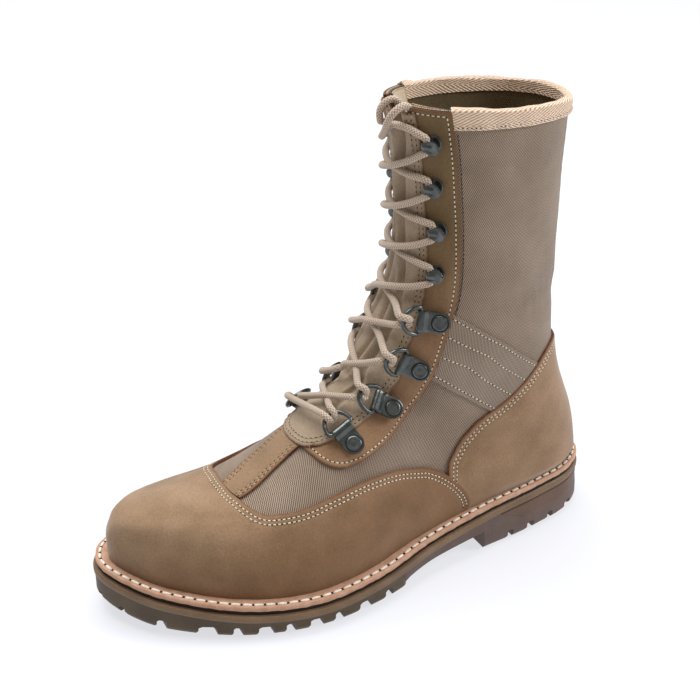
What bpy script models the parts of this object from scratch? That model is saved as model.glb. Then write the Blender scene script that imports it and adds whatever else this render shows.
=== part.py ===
"""High lace-up boot: canvas shaft and quarters, nubuck toe, counter and facings,
stitched welt, one-piece lugged sole, four rings and four hooks a side."""
import bpy
import bmesh
import numpy as np
from math import cos, pi, sin

for item in list(bpy.data.objects):
    bpy.data.objects.remove(item, do_unlink=True)

# ---- driving dimensions, millimetres; t runs from the heel to the toe ----------------
LENGTH = 305.0            # welt, back of heel to toe tip
TOE_TIP_X = -15.0         # the toe tip lies toward the inner side
WELT_THICK = 3.4
MIDSOLE_THICK = 1.5
GAP = 0.3                 # air left between pieces that touch
LEDGE_HEEL, LEDGE_TOE = 4.0, 7.5
LEATHER = 1.6             # nubuck overlays
CANVAS = 2.2              # shaft wall with its lining
LUG_DEPTH = 5.0
HEEL_FRONT, TREAD_BACK = 86.0, 147.5
WIRE = 2.4                # ring wire
LACE = 3.8
TONGUE_THICK, TONGUE_LIFT, INNER_RISE = 1.1, 0.85, 1.0   # sheet, its height over the facings

# half widths of the welt at distances from the heel
OUTER_SIDE = [(4, 16.5), (18, 29), (45, 36.6), (85, 42), (125, 47), (165, 58), (200, 61),
              (235, 53), (268, 35.5), (292, 15)]
INNER_SIDE = [(4, 17.5), (18, 31), (45, 38), (85, 37.5), (125, 37.5), (165, 43), (200, 52),
              (230, 56), (262, 52), (288, 40.5), (300, 28.5)]
WELT_TOP = [(-20, 34), (0, 33.5), (40, 33), (80, 31.5), (130, 25.3), (175, 21.1), (210, 19.8),
            (250, 22.3), (280, 27.4), (305, 33.6), (325, 38)]
TREAD = [(-10, 0), (234, 0), (235, 0), (250, 0.3), (270, 1.8), (290, 5), (306, 9.5), (320, 15)]
# height and sideways position of the ridge over the foot
RIDGE = [(4, 44), (10, 56), (25, 78), (55, 104), (90, 118), (120, 118), (150, 114.5), (165, 107),
         (185, 94.5), (200, 84.5), (215, 76), (235, 69.5), (255, 67.5), (270, 66.5), (282, 64),
         (291, 58.5), (297, 50.5), (301, 42)]
RIDGE_X = [(120, 0), (190, 3), (232, 5), (265, 0), (298, -11)]
SQUARENESS = [(120, 2.2), (180, 2.25), (230, 2.6), (280, 2.9)]
# the leg: height, back, front, widest point, half width
LEG = [(20, 3, 165, 60, 38), (44, 3.5, 165, 62, 38.5), (57, 5.5, 164, 64, 39),
       (73, 10, 162, 66, 39), (88, 16, 158, 68, 39.2), (106, 21.5, 153.5, 72, 39),
       (122, 23.7, 148.5, 76, 38.5), (145, 24, 135.5, 77, 37.2), (165, 23.5, 125.5, 76, 36.2),
       (190, 22.5, 120.5, 75, 35.7), (225, 21, 120.5, 75, 35.2), (250, 19.5, 123.5, 75, 35.2),
       (275, 18.5, 129.5, 75, 35.7)]
# level lines round the upper: back t, back z, front t, front z, dip of the sides
LEVELS = [(3, 42, 300, 41.5, 0), (5, 56, 297, 51, 0), (8.5, 70, 289, 60, 1),
          (14, 84, 262, 67, 7), (19.5, 98, 234, 69.7, 10), (23.5, 113, 208, 80, 7),
          (25.5, 128, 189, 92, 3), (25.5, 141, 172, 105, 0), (25, 154, 158, 122, 0),
          (25, 168, 145, 141, 0), (24.5, 183, 131, 160, 0), (24, 198, 122, 181, 0),
          (23.5, 213, 120, 203, 0), (22.5, 228, 120, 224, 0), (21.5, 241, 122, 242, 0),
          (20.5, 252, 124, 257, 0), (20, 261, 126, 270, 0)]
# half width of the lacing gap and of the tongue at each level
SLOT = [(7, 15), (7.6, 17.5), (8, 18), (9, 17), (10, 15.5), (11, 14.5), (12, 13.5), (13, 12.5),
        (17, 12)]
TONGUE = [(6.75, 24), (7, 26.5), (7.4, 25), (7.8, 23), (8.7, 22.5), (10, 21.5), (11, 20.5),
          (12.4, 18.5), (13.2, 17), (15, 16.5), (17, 17)]
# edges on the upper: way round from the heel (1 = front), level
VAMP_EDGE = [(0.32, 0.35), (0.346, 1.44), (0.383, 2.5), (0.421, 3.06), (0.488, 3.94),
             (0.579, 5.05), (0.65, 5.4), (0.708, 5.48), (0.754, 5.35), (0.79, 4.98),
             (0.82, 4.65), (0.86, 4.62), (0.90, 4.83), (0.94, 4.98), (1.0, 5.03)]
COUNTER_EDGE = [(0, 6.35), (0.117, 6.5), (0.175, 6.56), (0.212, 6.38), (0.25, 6.12),
                (0.283, 5.88), (0.312, 5.7), (0.346, 5.5), (0.371, 5.2), (0.379, 4.0)]
# outer edge of the facing seen from the side: t, z
FACING_EDGE = [(190, 88.5), (187, 86), (183, 84), (178, 82.6), (173, 82), (167, 82.3),
               (160, 84), (153, 87), (146, 90.5), (138, 95.5), (131, 101.5), (124.5, 109),
               (119, 118.5), (112, 135), (107, 150), (103, 165), (101, 180), (100.5, 200),
               (101, 220), (103, 240), (104.5, 253), (106, 268)]
# clips: level and way round of the rivet, then of the ring's bar, how far the clip
# presses into the soft leather, the ring's tilt outside and inside, and how much further
# round the inner one is
CLIPS = [(6.78, 0.800, 7.16, 0.856, 0.2, -0.1, -0.1, 0.01),
         (7.30, 0.721, 7.68, 0.807, 0.15, 0.2, 0.1, 0.03),
         (8.72, 0.746, 9.15, 0.829, 0.0, 0.6, -0.05, 0.06),
         (10.25, 0.742, 10.43, 0.821, 0.0, 0.6, -0.15, 0.06)]
HOOKS = [(111, 178.5), (109.5, 203), (111.5, 227.5), (113.5, 251.5)]
# the inner side's hooks sit further back and lower, its clips lower by part of a level
HOOK_BACK, HOOK_DOWN, CLIP_DOWN = 6.0, 8.0, 0.3
BAR_REACH, RING_REACH, RING_HALF = 10.5, 10.5, 7.3
CLIP_WIDE, CLIP_THICK, RIVET = 11.5, 1.0, 4.5
HOOK_RISE = 7.0

collection = bpy.data.collections.new("lace_up_boot")
bpy.context.scene.collection.children.link(collection)
cutters = bpy.data.collections.new("cutters")
bpy.context.scene.collection.children.link(cutters)


def curve(table, q, col=1):
    """Smooth curve through the rows of a table, read at q."""
    rows = np.array(table, float)
    xs, ys = rows[:, 0], rows[:, col]
    q = np.clip(np.asarray(q, float), xs[0], xs[-1])
    h = np.diff(xs)
    d = np.diff(ys) / h
    m = np.concatenate([d[:1], (d[:-1] * h[1:] + d[1:] * h[:-1]) / (h[:-1] + h[1:]), d[-1:]])
    i = np.clip(np.searchsorted(xs, q) - 1, 0, len(xs) - 2)
    s = (q - xs[i]) / h[i]
    return ((1 + 2 * s) * (1 - s)**2 * ys[i] + s * (1 - s)**2 * h[i] * m[i]
            + s * s * (3 - 2 * s) * ys[i + 1] + s * s * (s - 1) * h[i] * m[i + 1])


def lengths(points):
    return np.concatenate([[0], np.cumsum(np.linalg.norm(np.diff(points, axis=0), axis=1))])


def respace(points, at):
    """Points at the given fractions of a line's length."""
    run = lengths(points)
    return np.stack([np.interp(np.asarray(at) * run[-1], run, points[:, k])
                     for k in range(points.shape[1])], 1)


def sole_line(grow, count, fractions=None):
    """The welt's edge moved out by grow, as (x, t), heel, outer side, toe, inner side."""
    a, b = np.array(OUTER_SIDE, float), np.array(INNER_SIDE, float)
    t = np.concatenate([[0], a[:, 0], [LENGTH], b[::-1, 0], [0]])
    x = np.concatenate([[0], a[:, 1], [TOE_TIP_X], -b[::-1, 1], [0]])
    run = lengths(np.stack([x, t], 1))
    run2 = np.concatenate([[run[-2] - run[-1]], run, [run[-1] + run[1]]])
    s = np.linspace(0, run[-1], 1201)
    tt = curve(np.stack([run2, np.concatenate([[t[-2]], t, [t[1]]])], 1), s)
    xx = curve(np.stack([run2, np.concatenate([[x[-2]], x, [x[1]]])], 1), s)
    dt, dx = np.gradient(tt), np.gradient(xx)
    dt[0] = dt[-1] = (dt[0] + dt[-1]) / 2
    dx[0] = dx[-1] = (dx[0] + dx[-1]) / 2
    size = np.hypot(dt, dx)
    out = grow(tt) if callable(grow) else grow
    points = np.stack([xx + out * dt / size, tt - out * dx / size], 1)
    at = np.linspace(0, 1, count + 1)[:-1] if fractions is None else fractions
    return respace(points, at)


def ledge(t):
    return LEDGE_HEEL + (LEDGE_TOE - LEDGE_HEEL) * np.clip((t - 60) / 90, 0, 1)


def welt_top(t):
    return curve(WELT_TOP, t)


# ---- the upper's own form --------------------------------------------------------------
FEATHER = sole_line(lambda t: -ledge(t), 1200, np.linspace(0, 1, 1201))
TOE_AT = int(FEATHER[:, 1].argmax())


def half_width(t, z, side):
    """Distance of the upper's face from the middle plane; below zero off the form."""
    edge = FEATHER[:TOE_AT + 1] if side > 0 else FEATHER[TOE_AT:][::-1]
    order = np.argsort(edge[:, 1])
    w = np.interp(t, edge[order, 1], side * edge[order, 0])
    base = welt_top(t)
    top = curve(RIDGE, t)
    middle = side * np.interp(t, [r[0] for r in RIDGE_X], [r[1] for r in RIDGE_X])
    s = np.clip((z - base) / np.maximum(top - base, 1), 0, None)
    n = np.interp(t, [r[0] for r in SQUARENESS], [r[1] for r in SQUARENESS])
    bulge = 1.8 * np.sin(pi * np.clip(s * 1.6, 0, 1))
    foot = middle + (w + bulge - middle) * np.clip(1 - np.minimum(s, 1)**n, 0, 1)**(1 / n)
    foot = foot - 60 * np.clip(s - 1, 0, None)
    foot = foot - 60 * ((t > FEATHER[TOE_AT, 1]) | (t < LEDGE_HEEL))
    back, front, widest, half = [curve(LEG, z, k) for k in (1, 2, 3, 4)]
    u = np.where(t > widest, (t - widest) / (front - widest), (widest - t) / (widest - back))
    p = np.where(t > widest, 2.1, 2.25)
    leg = half * np.where(u < 1, np.clip(1 - np.minimum(u, 1)**p, 0, 1)**(1 / p), 2 - 2 * u)
    mix = np.clip(0.5 + (foot - leg) / 18, 0, 1)
    blend = leg * (1 - mix) + foot * mix + 4.5 * mix * (1 - mix)
    return np.where(np.minimum(foot, leg) < 0, np.maximum(foot, leg), blend)


def level_line(back_t, back_z, front_t, front_z, dip, at):
    """One level line as its outer-side and inner-side halves, back to front."""
    def sheet(t):
        u = (t - back_t) / (front_t - back_t)
        return back_z + (front_z - back_z) * u - dip * 6.75 * u * u * (1 - u)
    t = np.linspace(-6, 312, 3000)
    width = half_width(t, sheet(t), 1) + half_width(t, sheet(t), -1)
    first = last = int(np.argmin(np.abs(t - 90)))
    while width[first] > 0:
        first -= 1
    while width[last] > 0:
        last += 1
    step = t[1] - t[0]
    start = t[first] - step * width[first] / (width[first + 1] - width[first])
    end = t[last - 1] + step * width[last - 1] / (width[last - 1] - width[last])
    t = start + (end - start) * (1 - np.cos(np.linspace(0, pi, 1200))) / 2
    z = sheet(t)
    outer, inner = half_width(t, z, 1), -half_width(t, z, -1)
    for k, m in ((0, 1), (-1, -2)):
        outer[k] = inner[k] = (outer[m] + inner[m]) / 2
    return [respace(np.stack([x, t, z], 1), at) for x in (outer, inner)]


def make_skin(sub=8, half=100):
    """Fine grid over the form: rows are levels, columns run round the boot and back."""
    at = np.linspace(0, 1, half + 1)
    rows = []
    for side in (FEATHER[:TOE_AT + 1], FEATHER[TOE_AT:][::-1]):
        rows.append(respace(np.column_stack([side, welt_top(side[:, 1])]), at))
    rings = [np.concatenate([rows[0], rows[1][::-1][1:]])]
    for level in LEVELS:
        outer, inner = level_line(*level, at)
        rings.append(np.concatenate([outer, inner[::-1][1:]]))
    rings = np.array(rings)
    index = np.arange(len(rings))
    q = np.linspace(0, len(rings) - 1, (len(rings) - 1) * sub + 1)
    grid = np.zeros((len(q), rings.shape[1], 3))
    for c in range(rings.shape[1]):
        for k in range(3):
            grid[:, c, k] = curve(np.stack([index, rings[:, c, k]], 1), q)
    wrapped = np.concatenate([grid[:, -2:-1], grid, grid[:, 1:2]], 1)
    along = np.gradient(grid, axis=0)
    round_ = np.gradient(wrapped, axis=1)[:, 1:-1]
    normal = np.cross(round_, along)
    normal /= np.linalg.norm(normal, axis=2, keepdims=True)
    if normal[:, half // 2, 0].mean() < 0:
        normal = -normal
    return grid, normal, sub, half


SKIN, NORMAL, SUB, HALF = make_skin()
TOP = (len(SKIN) - 1) / SUB


def skin(a, level, out=0.0):
    """Point on the form: a is 0 at the heel, 1 at the front, 2 back at the heel by the
    inner side; level counts the level lines; out moves it off the surface."""
    a, level = np.broadcast_arrays(np.asarray(a, float), np.asarray(level, float))
    c = np.clip(a * HALF, 0, 2 * HALF - 1e-6)
    r = np.clip(level * SUB, 0, len(SKIN) - 1 - 1e-6)
    i, j = r.astype(int), c.astype(int)
    u, v = (r - i)[..., None], (c - j)[..., None]

    def read(g):
        return ((g[i, j] * (1 - v) + g[i, j + 1] * v) * (1 - u)
                + (g[i + 1, j] * (1 - v) + g[i + 1, j + 1] * v) * u)
    n = read(NORMAL)
    n = n / np.linalg.norm(n, axis=-1, keepdims=True)
    p = read(SKIN) + n * np.asarray(out, float)[..., None]
    low = (level < 0.5)
    base = welt_top(p[..., 1]) + GAP
    p[..., 2] = np.where(low, np.maximum(p[..., 2], base), p[..., 2])
    p[..., 2] = np.where(level < 0.02, base, p[..., 2])
    return p, n


def at_side(level, x, side=1):
    """Way round where the front of the form is x to one side of its ridge."""
    half = skin(np.linspace(0.55, 1, 400), level)[0][:, 0] - skin(1.0, level)[0][0]
    if side < 0:
        half = skin(2 - np.linspace(0.55, 1, 400), level)[0][:, 0] - skin(1.0, level)[0][0]
    a = float(np.interp(-abs(x), -np.abs(half), np.linspace(0.55, 1, 400)))
    return a if side > 0 else 2 - a


def nearest(t, z, side=1):
    """(a, level) of the form's point seen from the side at t, z."""
    part = SKIN[:, :HALF + 1] if side > 0 else SKIN[:, HALF:]
    gap = np.hypot(part[..., 1] - t, part[..., 2] - z)
    i, j = np.unravel_index(gap.argmin(), gap.shape)
    return (j if side > 0 else j + HALF) / HALF, i / SUB


# ---- builders --------------------------------------------------------------------------
MIDDLE = sole_line(1.5, 400)
X_MID = (MIDDLE[:, 0].max() + MIDDLE[:, 0].min()) / 2
T_MID = (MIDDLE[:, 1].max() + MIDDLE[:, 1].min()) / 2


def material(name, colour, rough, metal=0.0):
    mat = bpy.data.materials.new(name)
    mat.use_nodes = True
    shader = mat.node_tree.nodes["Principled BSDF"]
    shader.inputs["Base Color"].default_value = (*colour, 1)
    shader.inputs["Roughness"].default_value = rough
    shader.inputs["Metallic"].default_value = metal
    return mat


def solid(name, verts, faces, mat, keep=True):
    """Mesh object from millimetre points (x, t, z)."""
    mesh = bpy.data.meshes.new(name)
    mesh.from_pydata([((x - X_MID) / 1000, (T_MID - t) / 1000, z / 1000) for x, t, z in verts],
                     [], faces)
    obj = bpy.data.objects.new(name, mesh)
    (collection if keep else cutters).objects.link(obj)
    if mat:
        mesh.materials.append(mat)
    tidy = bmesh.new()
    tidy.from_mesh(mesh)
    bmesh.ops.remove_doubles(tidy, verts=tidy.verts, dist=2e-6)
    bmesh.ops.recalc_face_normals(tidy, faces=tidy.faces)
    tidy.to_mesh(mesh)
    tidy.free()
    if not keep:
        obj.hide_render = True
        obj.display_type = "WIRE"
    return obj


def plate(name, outer, inner, mat, keep=None, wrap=False):
    """Closed solid between two grids of the same size; keep marks the cells used."""
    rows, cols = outer.shape[:2]
    across = cols if wrap else cols - 1
    keep = np.ones((rows - 1, across), bool) if keep is None else keep
    verts = [tuple(p) for p in outer.reshape(-1, 3)] + [tuple(p) for p in inner.reshape(-1, 3)]
    shift = rows * cols

    def at(i, j, layer):
        return layer * shift + i * cols + j % cols

    faces = []
    for i in range(rows - 1):
        for j in range(across):
            if not keep[i, j]:
                continue
            corners = [(i, j), (i, j + 1), (i + 1, j + 1), (i + 1, j)]
            for tri in ((0, 1, 2), (0, 2, 3)):
                faces.append([at(*corners[c], 0) for c in tri])
                faces.append([at(*corners[c], 1) for c in reversed(tri)])
            around = [(i - 1, j), (i, j + 1), (i + 1, j), (i, j - 1)]
            for k, (p, q) in enumerate(around):
                if wrap:
                    q %= across
                if 0 <= p < rows - 1 and 0 <= q < across and keep[p, q]:
                    continue
                c, d = corners[k], corners[(k + 1) % 4]
                faces.append([at(*d, 0), at(*c, 0), at(*c, 1), at(*d, 1)])
    used = sorted({v for f in faces for v in f})
    number = {v: k for k, v in enumerate(used)}
    return solid(name, [verts[v] for v in used], [[number[v] for v in f] for f in faces], mat)


def stack(name, loops, mat, ring=False, keep=True):
    """Solid lofted through closed loops; a ring joins the last loop to the first."""
    n = len(loops[0])
    verts = [tuple(p) for loop in loops for p in loop]
    faces = []
    pairs = len(loops) if ring else len(loops) - 1
    for k in range(pairs):
        m = (k + 1) % len(loops)
        for i in range(n):
            j = (i + 1) % n
            faces.append([k * n + i, k * n + j, m * n + j, m * n + i])
    if not ring:
        for k, flip in ((0, True), (len(loops) - 1, False)):
            for i in range(n // 2):
                a, b, c, d = i, i + 1, n - 1 - i, (n - i) % n
                face = [k * n + v for v in ([a, b, c, d] if i else [a, b, c])]
                if b == c:
                    face = [k * n + v for v in (a, b, d)]
                faces.append(face[::-1] if flip else face)
    return solid(name, verts, faces, mat, keep)


def tube(name, path, radius, mat, sides=6, closed=False, keep=True):
    """Round rod along a path of points."""
    path = np.asarray(path, float)
    n = len(path)
    ahead = np.roll(path, -1, 0) - np.roll(path, 1, 0)
    if not closed:
        ahead[0], ahead[-1] = path[1] - path[0], path[-1] - path[-2]
    ahead /= np.linalg.norm(ahead, axis=1, keepdims=True)
    ref = np.array([0.0, 0.0, 1.0]) if abs(ahead[0][2]) < 0.8 else np.array([1.0, 0.0, 0.0])
    loops = []
    for k in range(n):
        ref = ref - ahead[k] * (ref @ ahead[k])
        ref /= np.linalg.norm(ref)
        other = np.cross(ahead[k], ref)
        loops.append([path[k] + radius * (ref * cos(2 * pi * s / sides)
                                          + other * sin(2 * pi * s / sides))
                      for s in range(sides)])
    return stack(name, loops, mat, ring=closed, keep=keep)


def cut(obj, others, kind="DIFFERENCE"):
    for other in others:
        mod = obj.modifiers.new("cut", "BOOLEAN")
        mod.operation = kind
        mod.solver = "EXACT"
        mod.object = other


# ---- materials -------------------------------------------------------------------------
NUBUCK = material("nubuck", (0.31, 0.21, 0.13), 0.9)
CLOTH = material("canvas", (0.32, 0.25, 0.19), 0.95)
TAPE = material("cotton tape", (0.58, 0.42, 0.29), 0.9)
WELT = material("welt leather", (0.57, 0.33, 0.2), 0.7)
DARK = material("dark midsole", (0.03, 0.02, 0.015), 0.8)
RUBBER = material("brown rubber", (0.11, 0.08, 0.065), 0.65)
LINING = material("insole felt", (0.09, 0.07, 0.03), 0.95)
METAL = material("gunmetal", (0.12, 0.14, 0.17), 0.4, 1.0)
CORD = material("braided cord", (0.55, 0.42, 0.29), 0.9)

# ---- sole ------------------------------------------------------------------------------
SOLE_POINTS = 40
sole_top = WELT_THICK + GAP + MIDSOLE_THICK + GAP


def sole_loop(grow, height):
    line = sole_line(grow, SOLE_POINTS)
    return np.column_stack([line, height(line[:, 1])])


def toe_part(t):
    return np.clip((t - 60) / 60, 0, 1)


outsole = stack("outsole", [
    sole_loop(lambda t: -1.6 - 0.9 * toe_part(t), lambda t: curve(TREAD, t)),
    sole_loop(lambda t: 0.6 - 1.2 * toe_part(t), lambda t: curve(TREAD, t) + 3.0),
    sole_loop(lambda t: 0.6 - 1.2 * toe_part(t), lambda t: 0.30 * welt_top(t) + curve(TREAD, t)
              * 0.6),
    sole_loop(lambda t: -0.6 + 0.6 * toe_part(t),
              lambda t: welt_top(t) - sole_top - 5.6 + 0.8 * toe_part(t)),
    sole_loop(lambda t: 0.3 + 1.2 * toe_part(t), lambda t: welt_top(t) - sole_top - 3.6),
    sole_loop(lambda t: 0.3 + 1.1 * toe_part(t), lambda t: welt_top(t) - sole_top - 1.7),
    sole_loop(lambda t: -1.2, lambda t: welt_top(t) - sole_top),
], RUBBER)

# the arch between heel and tread, seen from the side
ARCH = [(HEEL_FRONT, -4), (HEEL_FRONT + 1.2, 13.2), (112, 10.6), (127, 9), (142, 6.6),
        (TREAD_BACK - 1.5, 5.2), (TREAD_BACK, -4)]
arch_cutter = solid("arch_cutter", [(x, t, z) for x in (-90, 90) for t, z in ARCH],
                    [list(range(7)), list(range(13, 6, -1))]
                    + [[i, i + 7, (i + 1) % 7 + 7, (i + 1) % 7] for i in range(7)], None, False)

# gaps between lugs: t, width at the tread, how far in from the edge (0 = right across)
GAPS = [(261.8, 6.4, 0), (233, 6, 0), (205.6, 5.6, 0), (175, 6.4, 0), (283, 3.4, 15),
        (247, 3.4, 13), (220, 3.8, 13), (192, 4.2, 13), (158.5, 4.2, 13), (51.4, 4.6, 0),
        (18.5, 6.2, 0), (67, 3.2, 11), (35, 3.2, 11)]
verts, faces = [], []
for t, wide, reach in GAPS:
    spans = [(-90, 90)]
    if reach:
        edge = sole_line(0, 400)
        halves = [edge[:200], edge[200:]]
        spans = []
        for part in halves:
            x = float(part[np.abs(part[:, 1] - t).argmin(), 0])
            spans.append((x - reach, 90) if x > 0 else (-90, x + reach))
    low = float(curve(TREAD, t))
    for x0, x1 in spans:
        k = len(verts)
        for x in (x0, x1):
            verts += [(x, t - wide * 0.62, low - 4), (x, t + wide * 0.62, low - 4),
                      (x, t + wide * 0.36, low + LUG_DEPTH), (x, t - wide * 0.36, low + LUG_DEPTH)]
        faces += [[k, k + 1, k + 2, k + 3], [k + 7, k + 6, k + 5, k + 4]]
        faces += [[k + i, k + i + 4, k + (i + 1) % 4 + 4, k + (i + 1) % 4] for i in range(4)]
gap_cutter = solid("gap_cutter", verts, faces, None, False)
cut(outsole, [arch_cutter, gap_cutter])

midsole = stack("midsole", [
    sole_loop(-1.1, lambda t: welt_top(t) - sole_top + GAP),
    sole_loop(-1.1, lambda t: welt_top(t) - WELT_THICK - GAP)], DARK)

welt = stack("welt", [
    sole_loop(-0.7, lambda t: welt_top(t)),
    sole_loop(0, lambda t: welt_top(t) - 0.9),
    sole_loop(0, lambda t: welt_top(t) - WELT_THICK + 0.6),
    sole_loop(-0.6, lambda t: welt_top(t) - WELT_THICK),
    sole_loop(-14, lambda t: welt_top(t) - WELT_THICK),
    sole_loop(-14, lambda t: welt_top(t))], WELT, ring=True)

# ---- upper -----------------------------------------------------------------------------
BASE = -(LEATHER + GAP)          # canvas face, under the overlays
levels = np.array([0, 1, 2, 3, 4, 5, 6, 7, 7.5, 8, 8.5, 9, 9.6, 10.3, 11.2, 12.5, 14, 15.9, TOP])
side_cols, front_cols = 13, 3
spread = 1 - (1 - np.linspace(0, 1, side_cols + 1))**1.3     # closer together at the front
grid = []
for level in levels:
    row = []
    for side in (1, -1):
        # below the gap the same columns run on down to the toe
        edge = at_side(level, curve(SLOT, level), side) if level >= 7 else 1 - side * 0.1
        back = 0 if side > 0 else 2
        row.append(np.concatenate([back + (edge - back) * spread[:-1],
                                   np.linspace(edge, 1, front_cols + 1)]))
    grid.append(np.concatenate([row[0], row[1][::-1][1:-1]]))
a = np.array(grid)
lv = np.repeat(levels[:, None], a.shape[1], 1)
keep = np.ones((len(levels) - 1, a.shape[1]), bool)
keep[levels[:-1] >= 7, side_cols:side_cols + 2 * front_cols] = False
upper = plate("upper", skin(a, lv, BASE)[0], skin(a, lv, BASE - CANVAS)[0], CLOTH, keep, True)

foot_line = skin(a[0], lv[0], BASE - CANVAS - GAP)[0]
core = sole_line(-18, 200)
core = np.column_stack([core, welt_top(core[:, 1])])
run = lengths(np.concatenate([foot_line, foot_line[:1]]))
ring = respace(np.concatenate([core, core[:1]]), run[:-1] / run[-1])
insole = stack("insole", [ring - (0, 0, WELT_THICK - 0.15), ring + (0, 0, 2 * GAP),
                          foot_line + (0, 0, GAP), foot_line + (0, 0, 3.0)], LINING)


def grid_on(a, level, out):
    return skin(a, level, out)[0]


def overlay(name, a, level, mat):
    """Leather piece lying on the canvas: the upper's own form, one skin above the
    canvas, kept only inside the pattern edge given by (way round, level)."""
    whole = plate(name, grid_on(GRID_A, GRID_L, 0.0), grid_on(GRID_A, GRID_L, -LEATHER), mat,
                  None, True)
    high, low = grid_on(a, level, 6.0), grid_on(a, level, -7.0)
    for g in (high, low):
        g[..., 2] -= np.where(level < 0.02, 6.0, 0.0)
    tool = plate(name + "_pattern", high, low, None)
    collection.objects.unlink(tool)
    cutters.objects.link(tool)
    tool.hide_render = True
    tool.display_type = "WIRE"
    cut(whole, [tool], "INTERSECT")
    return whole


GRID_A, GRID_L = a, lv


def facet_rise(a, level):
    """Height of the overlays' flat cells above the true form, where that is hollow."""
    shape = np.broadcast(a, level).shape
    a, level = [np.broadcast_to(v, shape).ravel() for v in (a, level)]
    i = np.clip(np.searchsorted(levels, level) - 1, 0, len(levels) - 2)
    u = ((level - levels[i]) / (levels[i + 1] - levels[i]))[:, None]
    row = GRID_A[i] * (1 - u) + GRID_A[i + 1] * u
    j = np.clip((row <= a[:, None]).sum(1) - 1, 0, GRID_A.shape[1] - 2)
    k = np.arange(len(a))
    v = ((a - row[k, j]) / (row[k, j + 1] - row[k, j]))[:, None]
    face = skin(GRID_A, GRID_L)[0]
    flat = ((face[i, j] * (1 - v) + face[i, j + 1] * v) * (1 - u)
            + (face[i + 1, j] * (1 - v) + face[i + 1, j + 1] * v) * u)
    p, n = skin(a, level)
    return np.maximum(0, ((flat - p) * n).sum(1)).reshape(shape)


def mirror(half):
    """Way-round values of the outer side followed by the same on the inner side."""
    return np.concatenate([half, 2 - half[::-1][1:]])


cols = np.concatenate([[0.327], np.linspace(0.36, 0.60, 5), np.linspace(0.66, 1, 9)])
tops = np.array([float(curve(VAMP_EDGE, c)) for c in cols])
cols, tops = mirror(cols), np.concatenate([tops, tops[::-1][1:]])
share = np.array([0, 0.3, 0.6, 0.85, 1.0])[:, None]
vamp = overlay("vamp", np.repeat(cols[None], 5, 0), share * tops[None], NUBUCK)

cols = np.linspace(0, 0.376, 10)
tops = np.array([float(curve(COUNTER_EDGE, c)) for c in cols])
# the counter's foot stops short of the vamp's tail
foot = np.array([0 if c < 0.31 else float(curve(VAMP_EDGE, max(c, 0.32))) + 0.12 for c in cols])
cols = np.concatenate([-cols[::-1][:-1], cols])
tops, foot = [np.concatenate([v[::-1][:-1], v]) for v in (tops, foot)]
share = np.array([0, 0.25, 0.5, 0.78, 1.0])[:, None]
counter = overlay("heel_counter", np.mod(np.repeat(cols[None], 5, 0), 2),
                  foot[None] + share * (tops - foot)[None], NUBUCK)


def facing_grid(side, steps=17):
    """Pattern of one facing: its outer edge and the edge along the lacing gap."""
    outer = np.array([nearest(t, z, side) for t, z in FACING_EDGE])
    levels_in = np.concatenate([[6.86, 6.92], np.linspace(7.02, TOP, 18)])
    gap = []
    for level in levels_in:
        x = np.interp(level, [6.86, 7.0], [2.5, 0]) + curve(SLOT, level) + 0.4
        gap.append((at_side(level, x, side), level))
    share = np.linspace(0, 1, steps + 1)
    first, second = respace(outer, share), respace(np.array(gap), share)
    first[-1, 1] = second[-1, 1] = TOP - 0.03
    g = np.stack([first, second])
    return g[..., 0], g[..., 1]


for side, name in ((1, "facing_left"), (-1, "facing_right")):
    overlay(name, *facing_grid(side), NUBUCK)

# the strip down the middle of the forepart, from the vamp to the tongue's foot
rows = [(5.15, 13, 7), (5.5, 12, 12), (6, 10, 14), (6.4, 9.5, 15), (6.68, 10.5, 15.5)]
a = [np.linspace(at_side(level, near), at_side(level, far, -1), 7) for level, near, far in rows]
overlay("vamp_strip", np.array(a), np.repeat([[r[0]] for r in rows], 7, 1), NUBUCK)

# ---- tongue: one bellows sheet, its edges lying on the facings ---------------------------
outer, inner = [], []
for level in np.concatenate([[6.75], levels[levels >= 7][:-1], [TOP - 0.2]]):
    wide, gap = float(curve(TONGUE, level)), float(curve(SLOT, max(level, 7)))
    sink = 3.0 * np.clip((level - 7.1) / 0.7, 0, 1)
    places = [(wide, 0), (gap + 2.2, 0), (gap - 1.8, 0), (gap - 4.8, -1), (4, -0.55),
              (-4, -0.55), (-gap + 4.8, -1), (-gap + 1.8, 0), (-gap - 2.2, 0), (-wide, 0)]
    a = np.array([at_side(level, x, 1 if x > 0 else -1) for x, _ in places])
    # a little higher on the inner side, where the facing bridges the hollow of the ankle
    out = facet_rise(a, level) + [TONGUE_LIFT + sink * d + INNER_RISE * (x < -14 and level < 8.7)
                                  for x, d in places]
    outer.append(skin(a, level, out + TONGUE_THICK)[0])
    inner.append(skin(a, level, out)[0])
plate("tongue", np.array(outer), np.array(inner), CLOTH)

# ---- tape folded over the collar edge ----------------------------------------------------
FACE, BACK, TAPE_THICK = BASE, BASE - CANVAS, 1.0
near = np.concatenate([[0.722], GRID_A[-1][1:side_cols][GRID_A[-1][1:side_cols] < 0.70][::-1],
                       [0], -GRID_A[-1][1:side_cols][GRID_A[-1][1:side_cols] < 0.70], [-0.722]])
profile = [(15.95, FACE + GAP + TAPE_THICK, 0), (TOP, FACE + GAP + TAPE_THICK, GAP + TAPE_THICK),
           (TOP, BACK - GAP - TAPE_THICK, GAP + TAPE_THICK), (15.95, BACK - GAP - TAPE_THICK, 0),
           (15.95, BACK - GAP, 0), (TOP, BACK - GAP, GAP), (TOP, FACE + GAP, GAP),
           (15.95, FACE + GAP, 0)]
stack("collar_tape", [[skin(a % 2, level, out)[0] + (0, 0, up) for level, out, up in profile]
                      for a in near], TAPE)


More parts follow.
